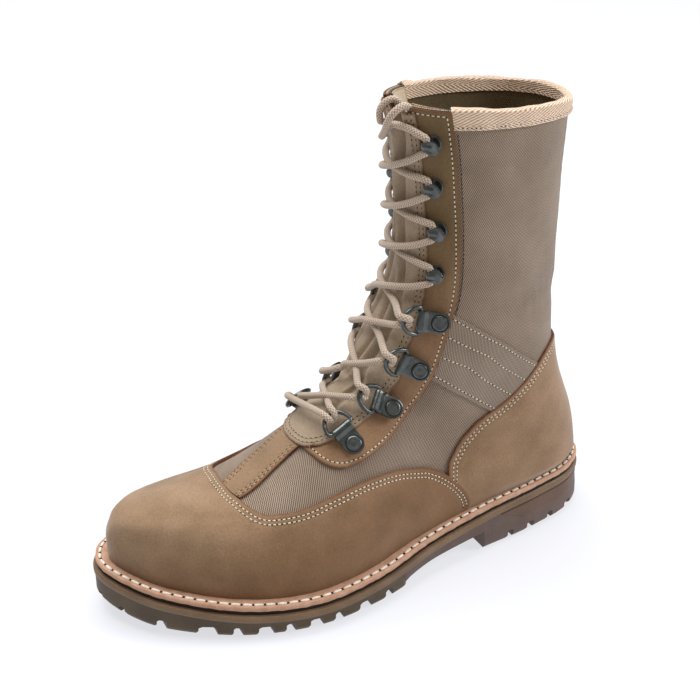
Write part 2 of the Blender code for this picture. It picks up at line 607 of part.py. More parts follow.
# ---- lace hardware -----------------------------------------------------------------------
def local_frame(a, level, a2, level2):
    """Point on the facing with its outward normal, the way to a second point and up."""
    p, n = skin(a, level)
    p2, n2 = skin(a2, level2)
    u = (p2 - p) / np.linalg.norm(p2 - p)
    n = n + n2 - u * ((n + n2) @ u)
    n /= np.linalg.norm(n)
    v = np.cross(n, u)
    return p, u, v * np.sign(v[2]), n


def seat(frame, a, level, u0, u1, half, drop=0.0):
    """The frame lifted until a footprint on it clears the facing and the tongue's edge."""
    p, u, v, n = frame
    ll, aa = np.meshgrid(level + np.linspace(-1.3, 1.3, 27), a + np.linspace(-0.2, 0.2, 41))
    ridge = skin(1.0, ll)[0][..., 0]
    face = skin(aa, ll)[0]
    covered = (np.abs(face[..., 0] - ridge) < curve(TONGUE, ll) + 0.8) & (ll > 6.7)
    face = skin(aa, ll, facet_rise(aa, ll) + covered
                * (TONGUE_LIFT + TONGUE_THICK + 0.1 + INNER_RISE * (aa > 1) * (ll < 8.7)))[0] - p
    inside = (face @ u > u0) & (face @ u < u1) & (np.abs(face @ v) < half)
    return p + n * ((face @ n)[inside].max() - drop), u, v, n


def at(frame, u, v, n):
    p, du, dv, dn = frame
    return p + du * u + dv * v + dn * n


def disc(name, frame, u, n0, n1, radius, small, sides=12):
    """Low round head standing on a local frame."""
    loops = [[at(frame, u + r * cos(2 * pi * k / sides), r * sin(2 * pi * k / sides), n)
              for k in range(sides)] for r, n in ((radius, n0), (radius, (n0 + n1) / 2),
                                                  (small, n1))]
    return stack(name, loops, METAL, keep=False)


EYE = WIRE / 2 + GAP
LIFT = 0.4
EYE_UP = LIFT + CLIP_THICK + EYE
stations = {1: [], -1: []}         # where the cord leaves each ring and hook
for side, hand in ((1, "left"), (-1, "right")):
    for number, (level, a, level2, a2, drop, *tilts, back) in enumerate(CLIPS, 1):
        if side < 0:
            a, a2, level, level2 = 2 - a + back, 2 - a2 + back, level - CLIP_DOWN, level2 - CLIP_DOWN
        frame = local_frame(a, level, a2, level2)
        frame = seat(frame, a, level, -6, BAR_REACH + 3, CLIP_WIDE / 2 + 0.5, drop)
        # strap folded round the ring's bar and riveted down
        turn = np.linspace(-pi / 2, pi * 0.62, 7)
        eye = [(BAR_REACH + (EYE + CLIP_THICK) * cos(w), EYE_UP + (EYE + CLIP_THICK) * sin(w))
               for w in turn]
        hole = [(BAR_REACH + EYE * cos(w), EYE_UP + EYE * sin(w)) for w in turn[::-1]]
        section = [(-5.6, LIFT)] + eye + hole + [(-5.6, LIFT + CLIP_THICK)]
        count = len(section)
        body = solid("clip_%s_%d" % (hand, number),
                     [at(frame, u, v * CLIP_WIDE / 2, n) for v in (-1, 1) for u, n in section],
                     [list(range(count))[::-1], list(range(count, 2 * count))]
                     + [[k, (k + 1) % count, (k + 1) % count + count, k + count]
                        for k in range(count)], METAL)
        head = disc("rivet_%s_%d" % (hand, number), frame, 0, LIFT + 0.3, LIFT + CLIP_THICK + 1.2,
                    RIVET, RIVET * 0.72, 10)
        cut(body, [head], "UNION")
        # D ring through the eye, swung toward the gap
        tilt = tilts[0] if side > 0 else tilts[1]
        du, dn = cos(tilt), sin(tilt)
        path = [(0, -RING_HALF), (0, RING_HALF)]
        path += [(RING_REACH * sin(w), RING_HALF * 1.06 * cos(w))
                 for w in np.linspace(pi * 0.1, pi * 0.9, 6)]
        path = [at(frame, BAR_REACH + r * du, v, EYE_UP + r * dn) for r, v in path]
        tube("ring_%s_%d" % (hand, number), path, WIRE / 2, METAL, 5, True)
        reach = RING_REACH + WIRE / 2 + LACE / 2 - (0.8 if number == 1 else 0.3)
        stations[side].append((frame, BAR_REACH + reach * du, EYE_UP + reach * dn))
    for number, (t, z) in enumerate(HOOKS, 1):
        if side < 0:
            t, z = t - HOOK_BACK, z - HOOK_DOWN
        a, level = nearest(t, z, side)
        ahead = a + 0.05 * side
        frame = seat(local_frame(a, level, ahead, level), a, level, -5.5, 6.5, 6,
                     2.0 if side > 0 and number == 1 else 0.2)
        track = [(-5, 0.9, 2.5), (-3.5, 0.9, 4.8), (0, 0.9, 5.4), (3.2, 0.9, 3.8), (4.8, 1.6, 3),
                 (5.6, 3.4, 3), (5.2, 5.4, 3), (3.6, HOOK_RISE - 0.3, 3.2),
                 (1.4, HOOK_RISE, 4.8), (-2.6, HOOK_RISE + 0.1, 5.6),
                 (-5.8, HOOK_RISE + 0.3, 4), (-7, HOOK_RISE + 0.4, 1.8)]
        line = np.array([(u, n) for u, n, _ in track])
        ahead = np.gradient(line, axis=0)
        ahead /= np.linalg.norm(ahead, axis=1, keepdims=True)
        loops = []
        for (u, n), (du, dn), (_, _, wide) in zip(line, ahead, track):
            ends = [(u - dn * 0.5, n + du * 0.5), (u + dn * 0.5, n - du * 0.5)]
            loops.append([at(frame, *ends[0][:1], -wide, ends[0][1]),
                          at(frame, *ends[1][:1], -wide, ends[1][1]),
                          at(frame, *ends[1][:1], wide, ends[1][1]),
                          at(frame, *ends[0][:1], wide, ends[0][1])])
        stack("hook_%s_%d" % (hand, number), loops, METAL)
        stations[side].append((frame, 6.1 + LACE / 2, 4.6))

# ---- lace: crossings, first bar, top strands, knot and bow -------------------------------


def leave(side, k, v):
    frame, u, n = stations[side][k]
    return at(frame, u, v, n)


def lifted(p, room):
    """The point moved off the form until it stands room above it."""
    gap = np.linalg.norm(SKIN - p, axis=2)
    i, j = np.unravel_index(gap.argmin(), gap.shape)
    n = NORMAL[i, j] / np.linalg.norm(NORMAL[i, j])
    return p + n * max(0, room - (p - SKIN[i, j]) @ n)


def strand(p, middle, q):
    """A strand from p over the middle to q, kept off the tongue."""
    room = TONGUE_LIFT + TONGUE_THICK + LACE / 2 + 0.6
    first, last = p + 0.4 * (middle - p), q + 0.4 * (middle - q)
    return [lifted(p, room + 1.6), lifted(first, room + 2), lifted(middle, room + 0.7),
            lifted(last, room + 2), lifted(q, room + 1.6)]


ends = [leave(side, 0, -2.6) for side in (1, -1)]
tube("lace_bar", strand(ends[0], sum(ends) / 2, ends[1]), LACE / 2, CORD)
for k in range(len(stations[1]) - 1):
    low = [leave(side, k, 2.6) for side in (1, -1)]
    high = [leave(side, k + 1, -2.6) for side in (1, -1)]
    middle = sum(low + high) / 4
    body = tube("lace_cross_%d" % (k + 1), strand(low[0], middle, high[1]), LACE / 2, CORD, 5)
    other = tube("cross_%d" % (k + 1), strand(low[1], middle, high[0]), LACE / 2, None, 5,
                 keep=False)
    cut(body, [other], "UNION")

KNOT = np.array([0.0, 128.9, 256.0])
sizes = [(-4.6, 2.0), (-3.0, 4.0), (0, 4.8), (3.0, 4.0), (4.6, 2.0)]
stack("lace_knot", [[KNOT + (r * cos(2 * pi * k / 8), r * 0.66 * sin(2 * pi * k / 8), up)
                     for k in range(8)] for up, r in sizes], CORD)
for side, hand in ((1, "left"), (-1, "right")):
    start, end = leave(side, 7, 2.6), KNOT + (side * (4.8 + GAP), -0.6, -1.5)
    middle = lifted((start + end) / 2 + (0, 0, 1), LACE / 2 + 3.4)
    tube("lace_top_" + hand, [lifted(start, LACE / 2 + 3.0), middle, end], LACE / 2, CORD, 6)
# a small loop of the bow, and the end tucked over the tongue into the boot
tube("lace_loop", [KNOT + p for p in ((-3.5, 3.2, 3), (-7, 5, 6.5), (-10.5, 5.2, 9.5),
                                      (-14, 3, 10.5), (-16.5, 0, 7))], LACE / 2, CORD, 6)
tube("lace_end", [KNOT + p for p in ((2.4, 1.6, 7.2), (2.6, 1.4, 11.6), (3, -2.0, 16),
                                     (3.4, -7, 15), (3.6, -9.6, 9), (3.6, -9.8, 2))],
     LACE / 2, CORD, 6)
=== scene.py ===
import bpy
import numpy as np
from math import cos, pi, radians, sin
from mathutils import Matrix, Vector

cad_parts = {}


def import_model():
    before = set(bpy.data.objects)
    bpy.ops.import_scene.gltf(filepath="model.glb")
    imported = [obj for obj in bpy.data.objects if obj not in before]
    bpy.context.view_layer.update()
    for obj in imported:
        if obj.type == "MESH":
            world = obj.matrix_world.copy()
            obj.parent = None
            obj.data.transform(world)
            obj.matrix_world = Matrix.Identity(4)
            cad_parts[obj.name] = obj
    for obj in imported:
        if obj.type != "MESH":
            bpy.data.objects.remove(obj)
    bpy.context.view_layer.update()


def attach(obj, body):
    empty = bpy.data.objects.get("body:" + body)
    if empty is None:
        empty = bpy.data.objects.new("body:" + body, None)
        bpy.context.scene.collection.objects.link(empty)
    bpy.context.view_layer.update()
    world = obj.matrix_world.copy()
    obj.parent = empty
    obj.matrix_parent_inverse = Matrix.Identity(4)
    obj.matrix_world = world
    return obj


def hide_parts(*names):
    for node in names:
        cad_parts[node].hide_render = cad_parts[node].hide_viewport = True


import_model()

# ---- camera, floor and studio light --------------------------------------------------
# The boot stands on pale paper under a big soft box, with a weaker fill in front
# and a strip light behind that catches the back of the shaft.
scene = bpy.context.scene
scene.view_settings.view_transform = "Standard"
AZIMUTH, ELEVATION, ROLL = radians(63.41), radians(27.78), radians(-0.994)
CAMERA_AT, LENS = (0.5655, -0.2848, 0.4667), 66.54
SOFT_DAYLIGHT = (0.96, 0.98, 1.0)
away = Vector((sin(AZIMUTH) * cos(ELEVATION), -cos(AZIMUTH) * cos(ELEVATION), sin(ELEVATION)))
right = Vector((cos(AZIMUTH), sin(AZIMUTH), 0))
right = right * cos(ROLL) + away.cross(right) * sin(ROLL)
bpy.ops.object.camera_add(location=CAMERA_AT)
camera = bpy.context.object
camera.rotation_mode = "QUATERNION"
camera.rotation_quaternion = Matrix([right, away.cross(right), away]).transposed().to_quaternion()
camera.data.lens = LENS
camera.data.clip_start = 0.01
scene.camera = camera


def linear(colour):
    """An sRGB hex colour as linear red, green, blue and alpha."""
    parts = [int(colour[k:k + 2], 16) / 255 for k in (0, 2, 4)]
    return (*[c / 12.92 if c < 0.04045 else ((c + 0.055) / 1.055)**2.4 for c in parts], 1)


def add(material, kind, inputs=(), **settings):
    """A node with its settings; inputs maps sockets to values or to other nodes' outputs."""
    tree = material.node_tree
    node = tree.nodes.new("ShaderNode" + kind)
    for key, value in settings.items():
        setattr(node, key, value)
    for key, value in dict(inputs).items():
        if isinstance(value, bpy.types.NodeSocket):
            tree.links.new(value, node.inputs[key])
        else:
            node.inputs[key].default_value = value
    return node


def new_material(name, roughness, **values):
    """A material and its Principled shader, with constant values on the shader's sockets."""
    material = bpy.data.materials.new(name)
    material.use_nodes = True
    shader = material.node_tree.nodes["Principled BSDF"]
    shader.inputs["Roughness"].default_value = roughness
    for key, value in values.items():
        shader.inputs[key.replace("_", " ")].default_value = value
    return material, shader


# a light table: the paper glows a little, so the shadow under the boot stays pale
paper, shader = new_material("studio_paper", 0.9, Base_Color=linear("86868A"),
                             Emission_Color=linear("F7F8FD"), Emission_Strength=0.72)
# a fifth of a millimetre under the tread, so that the two never share a plane
bpy.ops.mesh.primitive_plane_add(size=8, location=(0, 0, -0.0002))
floor = bpy.context.object
floor.name = "studio_floor"
floor.data.materials.append(paper)

scene.world = bpy.data.worlds.new("studio_room")
scene.world.use_nodes = True
room_light = scene.world.node_tree.nodes["Background"]
room_light.inputs["Color"].default_value = linear("F4EEE6")
room_light.inputs["Strength"].default_value = 0.36
# place, the point it faces, size, power
for name, place, target, size, power in [
        ("top_box", (-0.6, -0.1, 2.2), (-0.4, 0, 0), 1.9, 74),
        ("front_fill", (1.3, -1.0, 0.9), (0, 0, 0.1), 1.2, 1.0),
        ("back_strip", (0.7, 1.2, 0.9), (0, 0.05, 0.15), 0.6, 14)]:
    bpy.ops.object.light_add(type="AREA", location=place)
    light = bpy.context.object
    light.name = name
    light.data.size, light.data.energy = size, power
    light.data.color = SOFT_DAYLIGHT
    light.rotation_mode = "QUATERNION"
    light.rotation_quaternion = (Vector(target) - Vector(place)).to_track_quat("-Z", "Y")

# ---- the last --------------------------------------------------------------------------
# The foot form that every piece is drawn over: a left last with a straight inner side,
# a fuller outer side and a round toe. Millimetres: across, from the heel, up.
LENGTH, TOE_TIP = 305.0, -15.0
LEDGE_HEEL, LEDGE_TOE = 4.0, 7.5
# half width of the welt at distances from the heel
OUTER_SIDE = [(4, 16.5), (18, 29), (45, 36.6), (85, 42), (125, 47), (165, 58), (200, 61),
              (235, 53), (268, 35.5), (292, 15)]
INNER_SIDE = [(4, 17.5), (18, 31), (45, 38), (85, 37.5), (125, 37.5), (165, 43), (200, 52),
              (230, 56), (262, 52), (288, 40.5), (300, 28.5)]
# heights over the length: welt, then the ridge of the foot and its place sideways
WELT_TOP = [(-20, 34), (0, 33.5), (40, 33), (80, 31.5), (130, 25.3), (175, 21.1), (210, 19.8),
            (250, 22.3), (280, 27.4), (305, 33.6), (325, 38)]
RIDGE = [(4, 44), (10, 56), (25, 78), (55, 104), (90, 118), (120, 118), (150, 114.5), (165, 107),
         (185, 94.5), (200, 84.5), (215, 76), (235, 69.5), (255, 67.5), (270, 66.5), (282, 64),
         (291, 58.5), (297, 50.5), (301, 42)]
RIDGE_X = [(120, 0), (190, 3), (232, 5), (265, 0), (298, -11)]
SQUARENESS = [(120, 2.2), (180, 2.25), (230, 2.6), (280, 2.9)]
# the leg: height, back, front, widest point, half width
LEG = [(20, 3, 165, 60, 38), (44, 3.5, 165, 62, 38.5), (57, 5.5, 164, 64, 39),
       (73, 10, 162, 66, 39), (88, 16, 158, 68, 39.2), (106, 21.5, 153.5, 72, 39),
       (122, 23.7, 148.5, 76, 38.5), (145, 24, 135.5, 77, 37.2), (165, 23.5, 125.5, 76, 36.2),
       (190, 22.5, 120.5, 75, 35.7), (225, 21, 120.5, 75, 35.2), (250, 19.5, 123.5, 75, 35.2),
       (275, 18.5, 129.5, 75, 35.7)]
# level lines round the upper: back, height there, front, height there, dip of the sides
LEVELS = [(3, 42, 300, 41.5, 0), (5, 56, 297, 51, 0), (8.5, 70, 289, 60, 1),
          (14, 84, 262, 66.7, 7.6), (19.5, 98, 234, 70, 8.3), (23.5, 113, 208, 80, 7),
          (25.5, 128, 189, 92, 3), (25.5, 141, 172, 105, 0), (25, 154, 158, 122, 0),
          (25, 168, 145, 141, 0), (24.5, 183, 131, 160, 0), (24, 198, 122, 181, 0),
          (23.5, 213, 120, 203, 0), (22.5, 228, 120, 224, 0), (21.5, 241, 122, 242, 0),
          (20.5, 252, 124, 257, 0), (20, 261, 126, 270, 0)]


def eased(s, low, high, rise_low, rise_high, span=1.0):
    """Cubic from one value to the next with a given slope at each end."""
    return ((1 + 2 * s) * (1 - s)**2 * low + s * (1 - s)**2 * span * rise_low
            + s * s * (3 - 2 * s) * high + s * s * (s - 1) * span * rise_high)


def curve(table, q, col=1):
    """Smooth curve through the rows of a table, read at q."""
    rows = np.array(table, float)
    xs, ys = rows[:, 0], rows[:, col]
    q = np.clip(np.asarray(q, float), xs[0], xs[-1])
    h = np.diff(xs)
    d = np.diff(ys) / h
    m = np.concatenate([d[:1], (d[:-1] * h[1:] + d[1:] * h[:-1]) / (h[:-1] + h[1:]), d[-1:]])
    i = np.clip(np.searchsorted(xs, q) - 1, 0, len(xs) - 2)
    return eased((q - xs[i]) / h[i], ys[i], ys[i + 1], m[i], m[i + 1], h[i])


def between(table, q):
    """Straight lines through the rows of a table, read at q."""
    return np.interp(q, *zip(*table))


def unit(ways):
    """Directions brought to length one."""
    return ways / np.linalg.norm(ways, axis=-1, keepdims=True)


def lengths(points):
    """How far each point lies along its line."""
    return np.concatenate([[0], np.cumsum(np.linalg.norm(np.diff(points, axis=0), axis=1))])


def read(points, run, at):
    """A line's points, or what goes with them, at distances along its run."""
    return np.stack([np.interp(at, run, column) for column in points.T], 1)


def respace(points, at):
    """Points at the given fractions of a line's length."""
    run = lengths(points)
    return read(points, run, np.asarray(at) * run[-1])


def sole_line(grow, at):
    """The welt's edge moved out by grow: heel, outer side, toe, inner side, heel."""
    a, b = np.array(OUTER_SIDE, float), np.array(INNER_SIDE, float)
    t = np.concatenate([[0], a[:, 0], [LENGTH], b[::-1, 0], [0]])
    x = np.concatenate([[0], a[:, 1], [TOE_TIP], -b[::-1, 1], [0]])
    run = lengths(np.stack([x, t], 1))
    run2 = np.concatenate([[run[-2] - run[-1]], run, [run[-1] + run[1]]])
    s = np.linspace(0, run[-1], 1201)
    tt = curve(np.stack([run2, np.concatenate([[t[-2]], t, [t[1]]])], 1), s)
    xx = curve(np.stack([run2, np.concatenate([[x[-2]], x, [x[1]]])], 1), s)
    dt, dx = np.gradient(tt), np.gradient(xx)
    dt[0] = dt[-1] = (dt[0] + dt[-1]) / 2
    dx[0] = dx[-1] = (dx[0] + dx[-1]) / 2
    size = np.hypot(dt, dx)
    out = grow(tt) if callable(grow) else grow
    return respace(np.stack([xx + out * dt / size, tt - out * dx / size], 1), at)


def ledge(t):
    """How far the welt's edge stands out from the feather line, where the upper ends."""
    return LEDGE_HEEL + (LEDGE_TOE - LEDGE_HEEL) * np.clip((t - 60) / 90, 0, 1)


def welt_top(t):
    """Height of the welt's upper face at a distance from the heel."""
    return curve(WELT_TOP, t)


FEATHER = sole_line(lambda t: -ledge(t), np.linspace(0, 1, 1201))
TOE_AT = int(FEATHER[:, 1].argmax())
# how far the upper swells out over the welt, how steeply the form falls away outside itself,
# and over how many millimetres leg and foot run into each other
SWELL, FALL, BLEND = 1.8, 60, 18


def half_width(t, z, side):
    """Distance of the form's face from the middle plane; below zero off the form."""
    edge = FEATHER[:TOE_AT + 1] if side > 0 else FEATHER[TOE_AT:][::-1]
    order = np.argsort(edge[:, 1])
    w = np.interp(t, edge[order, 1], side * edge[order, 0])
    base = welt_top(t)
    top = curve(RIDGE, t)
    middle = side * between(RIDGE_X, t)
    s = np.clip((z - base) / np.maximum(top - base, 1), 0, None)
    n = between(SQUARENESS, t)
    bulge = SWELL * np.sin(pi * np.clip(s * 1.6, 0, 1))
    foot = middle + (w + bulge - middle) * np.clip(1 - np.minimum(s, 1)**n, 0, 1)**(1 / n)
    foot = foot - FALL * np.clip(s - 1, 0, None)
    foot = foot - FALL * ((t > FEATHER[TOE_AT, 1]) | (t < LEDGE_HEEL))
    back, front, widest, half = [curve(LEG, z, k) for k in (1, 2, 3, 4)]
    u = np.where(t > widest, (t - widest) / (front - widest), (widest - t) / (widest - back))
    p = np.where(t > widest, 2.1, 2.25)
    leg = half * np.where(u < 1, np.clip(1 - np.minimum(u, 1)**p, 0, 1)**(1 / p), 2 - 2 * u)
    mix = np.clip(0.5 + (foot - leg) / BLEND, 0, 1)
    joined = leg * (1 - mix) + foot * mix + BLEND / 4 * mix * (1 - mix)
    return np.where(np.minimum(foot, leg) < 0, np.maximum(foot, leg), joined)


def level_line(back_t, back_z, front_t, front_z, dip, at):
    """One level line as its outer-side and inner-side halves, back to front."""
    def sheet(t):
        """Height of the line's sheet; 6.75 makes dip its depth two thirds of the way."""
        u = (t - back_t) / (front_t - back_t)
        return back_z + (front_z - back_z) * u - dip * 6.75 * u * u * (1 - u)
    t = np.linspace(-6, 312, 3000)
    width = half_width(t, sheet(t), 1) + half_width(t, sheet(t), -1)
    first = last = int(np.argmin(np.abs(t - 90)))
    while width[first] > 0:
        first -= 1
    while width[last] > 0:
        last += 1
    step = t[1] - t[0]
    start = t[first] - step * width[first] / (width[first + 1] - width[first])
    end = t[last - 1] + step * width[last - 1] / (width[last - 1] - width[last])
    t = start + (end - start) * (1 - np.cos(np.linspace(0, pi, 1200))) / 2
    z = sheet(t)
    outer, inner = half_width(t, z, 1), -half_width(t, z, -1)
    for k, m in ((0, 1), (-1, -2)):
        outer[k] = inner[k] = (outer[m] + inner[m]) / 2
    return [respace(np.stack([x, t, z], 1), at) for x in (outer, inner)]


# rows of the grid between two levels, and columns from heel to front on each side
SUB, HALF = 8, 100


def make_skin():
    """Fine grid over the form: rows are levels, columns run round the boot and back."""
    at = np.linspace(0, 1, HALF + 1)
    rows = [respace(np.column_stack([side, welt_top(side[:, 1])]), at)
            for side in (FEATHER[:TOE_AT + 1], FEATHER[TOE_AT:][::-1])]
    rings = [np.concatenate([rows[0], rows[1][::-1][1:]])]
    for level in LEVELS:
        outer, inner = level_line(*level, at)
        rings.append(np.concatenate([outer, inner[::-1][1:]]))
    rings = np.array(rings)
    step = np.diff(rings, axis=0)
    slope = np.concatenate([step[:1], (step[:-1] + step[1:]) / 2, step[-1:]])
    # a slope is held to the shorter step beside it, so lines that lie close never fold
    size = np.linalg.norm(step, axis=2, keepdims=True)
    short = np.minimum(np.concatenate([size[:1], size]), np.concatenate([size, size[-1:]]))
    slope *= np.clip(1.6 * short / np.linalg.norm(slope, axis=2, keepdims=True), 0, 1)
    s = np.linspace(0, 1, SUB, endpoint=False)[None, :, None, None]
    low, high, m, n = [g[:, None] for g in (rings[:-1], rings[1:], slope[:-1], slope[1:])]
    grid = eased(s, low, high, m, n)
    grid = np.concatenate([grid.reshape(-1, rings.shape[1], 3), rings[-1:]])
    wrapped = np.concatenate([grid[:, -2:-1], grid, grid[:, 1:2]], 1)
    normal = unit(np.cross(np.gradient(wrapped, axis=1)[:, 1:-1], np.gradient(grid, axis=0)))
    if normal[:, HALF // 2, 0].mean() < 0:
        normal = -normal
    # where the form faces sideways the grid is set on it and takes its own normals
    rise = np.clip((np.arange(len(grid)) - 3) / 4, 0, 1)[:, None]
    for side, part in ((1, slice(0, HALF + 1)), (-1, slice(HALF, None))):
        x, t, z = np.moveaxis(grid[:, part], -1, 0).copy()
        wide, ahead, back, above, below = [
            half_width(t + dt, z + dz, side)
            for dt, dz in ((0, 0), (0.6, 0), (-0.6, 0), (0, 0.6), (0, -0.6))]
        own = unit(np.stack([np.full_like(x, side), (back - ahead) / 1.2,
                             (below - above) / 1.2], -1))
        much = (rise * np.clip((np.abs(own[..., 0]) - 0.4) / 0.3, 0, 1))[..., None]
        grid[:, part, 0] = x + (side * wide - x) * much[..., 0]
        normal[:, part] = normal[:, part] * (1 - much) + own * much
    return grid, unit(normal)


SKIN, NORMAL = make_skin()
TOP = (len(SKIN) - 1) / SUB


def skin(a, level, out=0.0):
    """Point on the form: a is 0 at the heel, 1 at the front, 2 back at the heel by the
    inner side; level counts the level lines; out moves it off the surface."""
    a, level = np.broadcast_arrays(np.asarray(a, float), np.asarray(level, float))
    c = np.clip(a * HALF, 0, 2 * HALF - 1e-6)
    r = np.clip(level * SUB, 0, len(SKIN) - 1 - 1e-6)
    i, j = r.astype(int), c.astype(int)
    u, v = (r - i)[..., None], (c - j)[..., None]

    def within(g):
        """Value of a grid between its four nearest points."""
        return ((g[i, j] * (1 - v) + g[i, j + 1] * v) * (1 - u)
                + (g[i + 1, j] * (1 - v) + g[i + 1, j + 1] * v) * u)
    n = unit(within(NORMAL))
    p = within(SKIN) + n * np.asarray(out, float)[..., None]
    base = welt_top(p[..., 1]) + 0.1
    p[..., 2] = np.where(level < 0.5, np.maximum(p[..., 2], base), p[..., 2])
    return p, n


def at_side(level, x, side=1):
    """Way round where the front of the form is x to one side of its ridge."""
    ways = np.linspace(0.55, 1, 400)
    half = skin(ways if side > 0 else 2 - ways, level)[0][:, 0] - skin(1.0, level)[0][0]
    a = np.interp(-np.abs(x), -np.abs(half), ways)
    return a if side > 0 else 2 - a


def nearest(t, z, side=1):
    """(a, level) of the form's point seen from the side at t, z."""
    part = SKIN[:, :HALF + 1] if side > 0 else SKIN[:, HALF:]
    gap = np.hypot(part[..., 1] - t, part[..., 2] - z)
    i, j = np.unravel_index(gap.argmin(), gap.shape)
    a, level = (j if side > 0 else j + HALF) / HALF, i / SUB
    for step in (1.0, 0.15):
        ways, levels = np.meshgrid(a + np.linspace(-step, step, 15) / HALF,
                                   np.clip(level + np.linspace(-step, step, 15) / SUB, 0, TOP))
        p = skin(ways % 2, levels)[0]
        m = np.hypot(p[..., 1] - t, p[..., 2] - z).argmin()
        a, level = ways.flat[m], levels.flat[m]
    return a, level


# the room's origin lies under the middle of the sole
edge_line = sole_line(1.5, np.linspace(0, 1, 401))
MID_X, MID_T = (edge_line.max(0) + edge_line.min(0)) / 2


# ---- outsole ---------------------------------------------------------------------------
# One moulded piece of brown rubber, about 65 Shore: a heel block, an arched shank and a
# tread of deep cross lugs, cut away between them down to the web.
def world(points):
    """Millimetres on the last to metres in the room: heel at +Y, toe at -Y."""
    points = np.asarray(points, float)
    return np.stack([points[..., 0] - MID_X, MID_T - points[..., 1], points[..., 2]], -1) / 1000


def pick(piece):
    """Selects one piece alone."""
    bpy.ops.object.select_all(action="DESELECT")
    piece.select_set(True)
    bpy.context.view_layer.objects.active = piece


def in_edit(*steps):
    """Works on all of the picked piece in edit mode."""
    bpy.ops.object.mode_set(mode="EDIT")
    bpy.ops.mesh.select_all(action="SELECT")
    for step in steps:
        step()
    bpy.ops.object.mode_set(mode="OBJECT")


def right_side_out():
    """Turns the faces of a closed mesh outwards."""
    bpy.ops.mesh.select_all(action="SELECT")
    bpy.ops.mesh.normals_make_consistent(inside=False)


def fill_ends():
    """Fills the open ends of a rolled-up grid."""
    bpy.ops.mesh.select_all(action="DESELECT")
    bpy.ops.mesh.select_non_manifold(extend=False, use_multi_face=False,
                                     use_non_contiguous=False, use_verts=False)
    bpy.ops.mesh.edge_face_add()


def laid(name, points, *materials, out=None, uv=None, values=None):
    """A grid primitive laid on rows of points; out is the side its faces point to, uv the
    cloth's own run in millimetres, and values are attributes for its materials."""
    rows, cols = points.shape[:2]
    bpy.ops.object.select_all(action="DESELECT")
    bpy.ops.mesh.primitive_grid_add(x_subdivisions=cols - 1, y_subdivisions=rows - 1, size=1)
    piece = bpy.context.object
    piece.name = piece.data.name = name
    piece.data.vertices.foreach_set("co", world(points).ravel())
    if uv is not None:
        layer = piece.data.uv_layers[0]
        corner = np.empty(len(piece.data.loops), int)
        piece.data.loops.foreach_get("vertex_index", corner)
        layer.data.foreach_set("uv", uv.reshape(-1, 2)[corner].ravel())
    for key, value in (values or {}).items():
        data = piece.data.attributes.new(key, "FLOAT", "POINT")
        data.data.foreach_set("value", value.ravel())
    for material in materials:
        piece.data.materials.append(material)
    piece.data.update()
    if out is not None:
        faces = np.empty(len(piece.data.polygons) * 3)
        piece.data.polygons.foreach_get("normal", faces)
        # the room's Y runs against the last's heel-to-toe way
        want = out[:-1, :-1] * (1, -1, 1)
        if (faces.reshape(rows - 1, cols - 1, 3) * want).sum() < 0:
            in_edit(bpy.ops.mesh.flip_normals)
    return piece


def closed(piece, caps=False):
    """Merges the seam of a rolled-up grid, fills its open ends and turns it right side out."""
    in_edit(lambda: bpy.ops.mesh.remove_doubles(threshold=2e-6), *[fill_ends] * caps,
            right_side_out)
    return piece


def apply(piece, kind, **settings):
    """Adds a modifier with its settings and applies it."""
    pick(piece)
    modifier = piece.modifiers.new(kind.title(), kind)
    for key, value in settings.items():
        setattr(modifier, key, value)
    bpy.ops.object.modifier_apply(modifier=modifier.name)
    return piece


def fixed(piece, slot, *nodes, smooth=40):
    """Shades a finished piece, fixes it to the boot and hides the solids it stands for."""
    pick(piece)
    bpy.ops.object.shade_smooth_by_angle(angle=radians(smooth))
    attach(piece, "root")
    if nodes:
        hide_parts(*nodes)
    return piece


def backed(piece, thick, slot, *nodes, offset=-1, rim=0, rounding=0, smooth=40):
    """Gives a laid sheet its thickness and rounded edges, in mm, and fixes it to the boot."""
    apply(piece, "SOLIDIFY", thickness=thick / 1000, offset=offset, material_offset_rim=rim)
    if rounding:
        apply(piece, "BEVEL", width=rounding / 1000, segments=2, limit_method="ANGLE")
    return fixed(piece, slot, *nodes, smooth=smooth)


def coloured(material, shader, colour, bump):
    """Links a colour and a bump to a material's shader."""
    material.node_tree.links.new(colour.outputs[2], shader.inputs["Base Color"])
    material.node_tree.links.new(bump.outputs[0], shader.inputs["Normal"])
    return material


def mottled(name, roughness, base, other, size, grain, depth, **values):
    """A material in clouds of two colours with a fine grain; size, grain and depth are the
    clouds', the grain's and the bump's, in metres."""
    material, shader = new_material(name, roughness, **values)
    place = add(material, "TexCoord").outputs["Object"]
    cloud = add(material, "TexNoise", {"Vector": place, "Scale": 1 / size, "Detail": 4})
    ramp = add(material, "MapRange", {0: cloud.outputs[0], 1: 0.35, 2: 0.65})
    mix = add(material, "Mix", {0: ramp.outputs[0], 6: linear(base), 7: linear(other)},
              data_type="RGBA")
    fine = add(material, "TexNoise", {"Vector": place, "Scale": 1 / grain, "Detail": 2})
    speck = add(material, "MapRange", {0: fine.outputs[0], 1: 0.25, 2: 0.75, 3: 0.86, 4: 1.14})
    tone = add(material, "Mix", {0: 1.0, 6: mix.outputs[2], 7: speck.outputs[0]},
               data_type="RGBA", blend_type="MULTIPLY")
    bump = add(material, "Bump", {"Height": fine.outputs[0], "Strength": 0.5,
                                  "Distance": depth})
    return coloured(material, shader, tone, bump)


# gap between neighbouring pieces; SOLE_TOP counts down from the welt's upper face
WELT_THICK, MIDSOLE_THICK, GAP = 3.4, 1.5, 0.3
SOLE_TOP = WELT_THICK + MIDSOLE_THICK + 2 * GAP
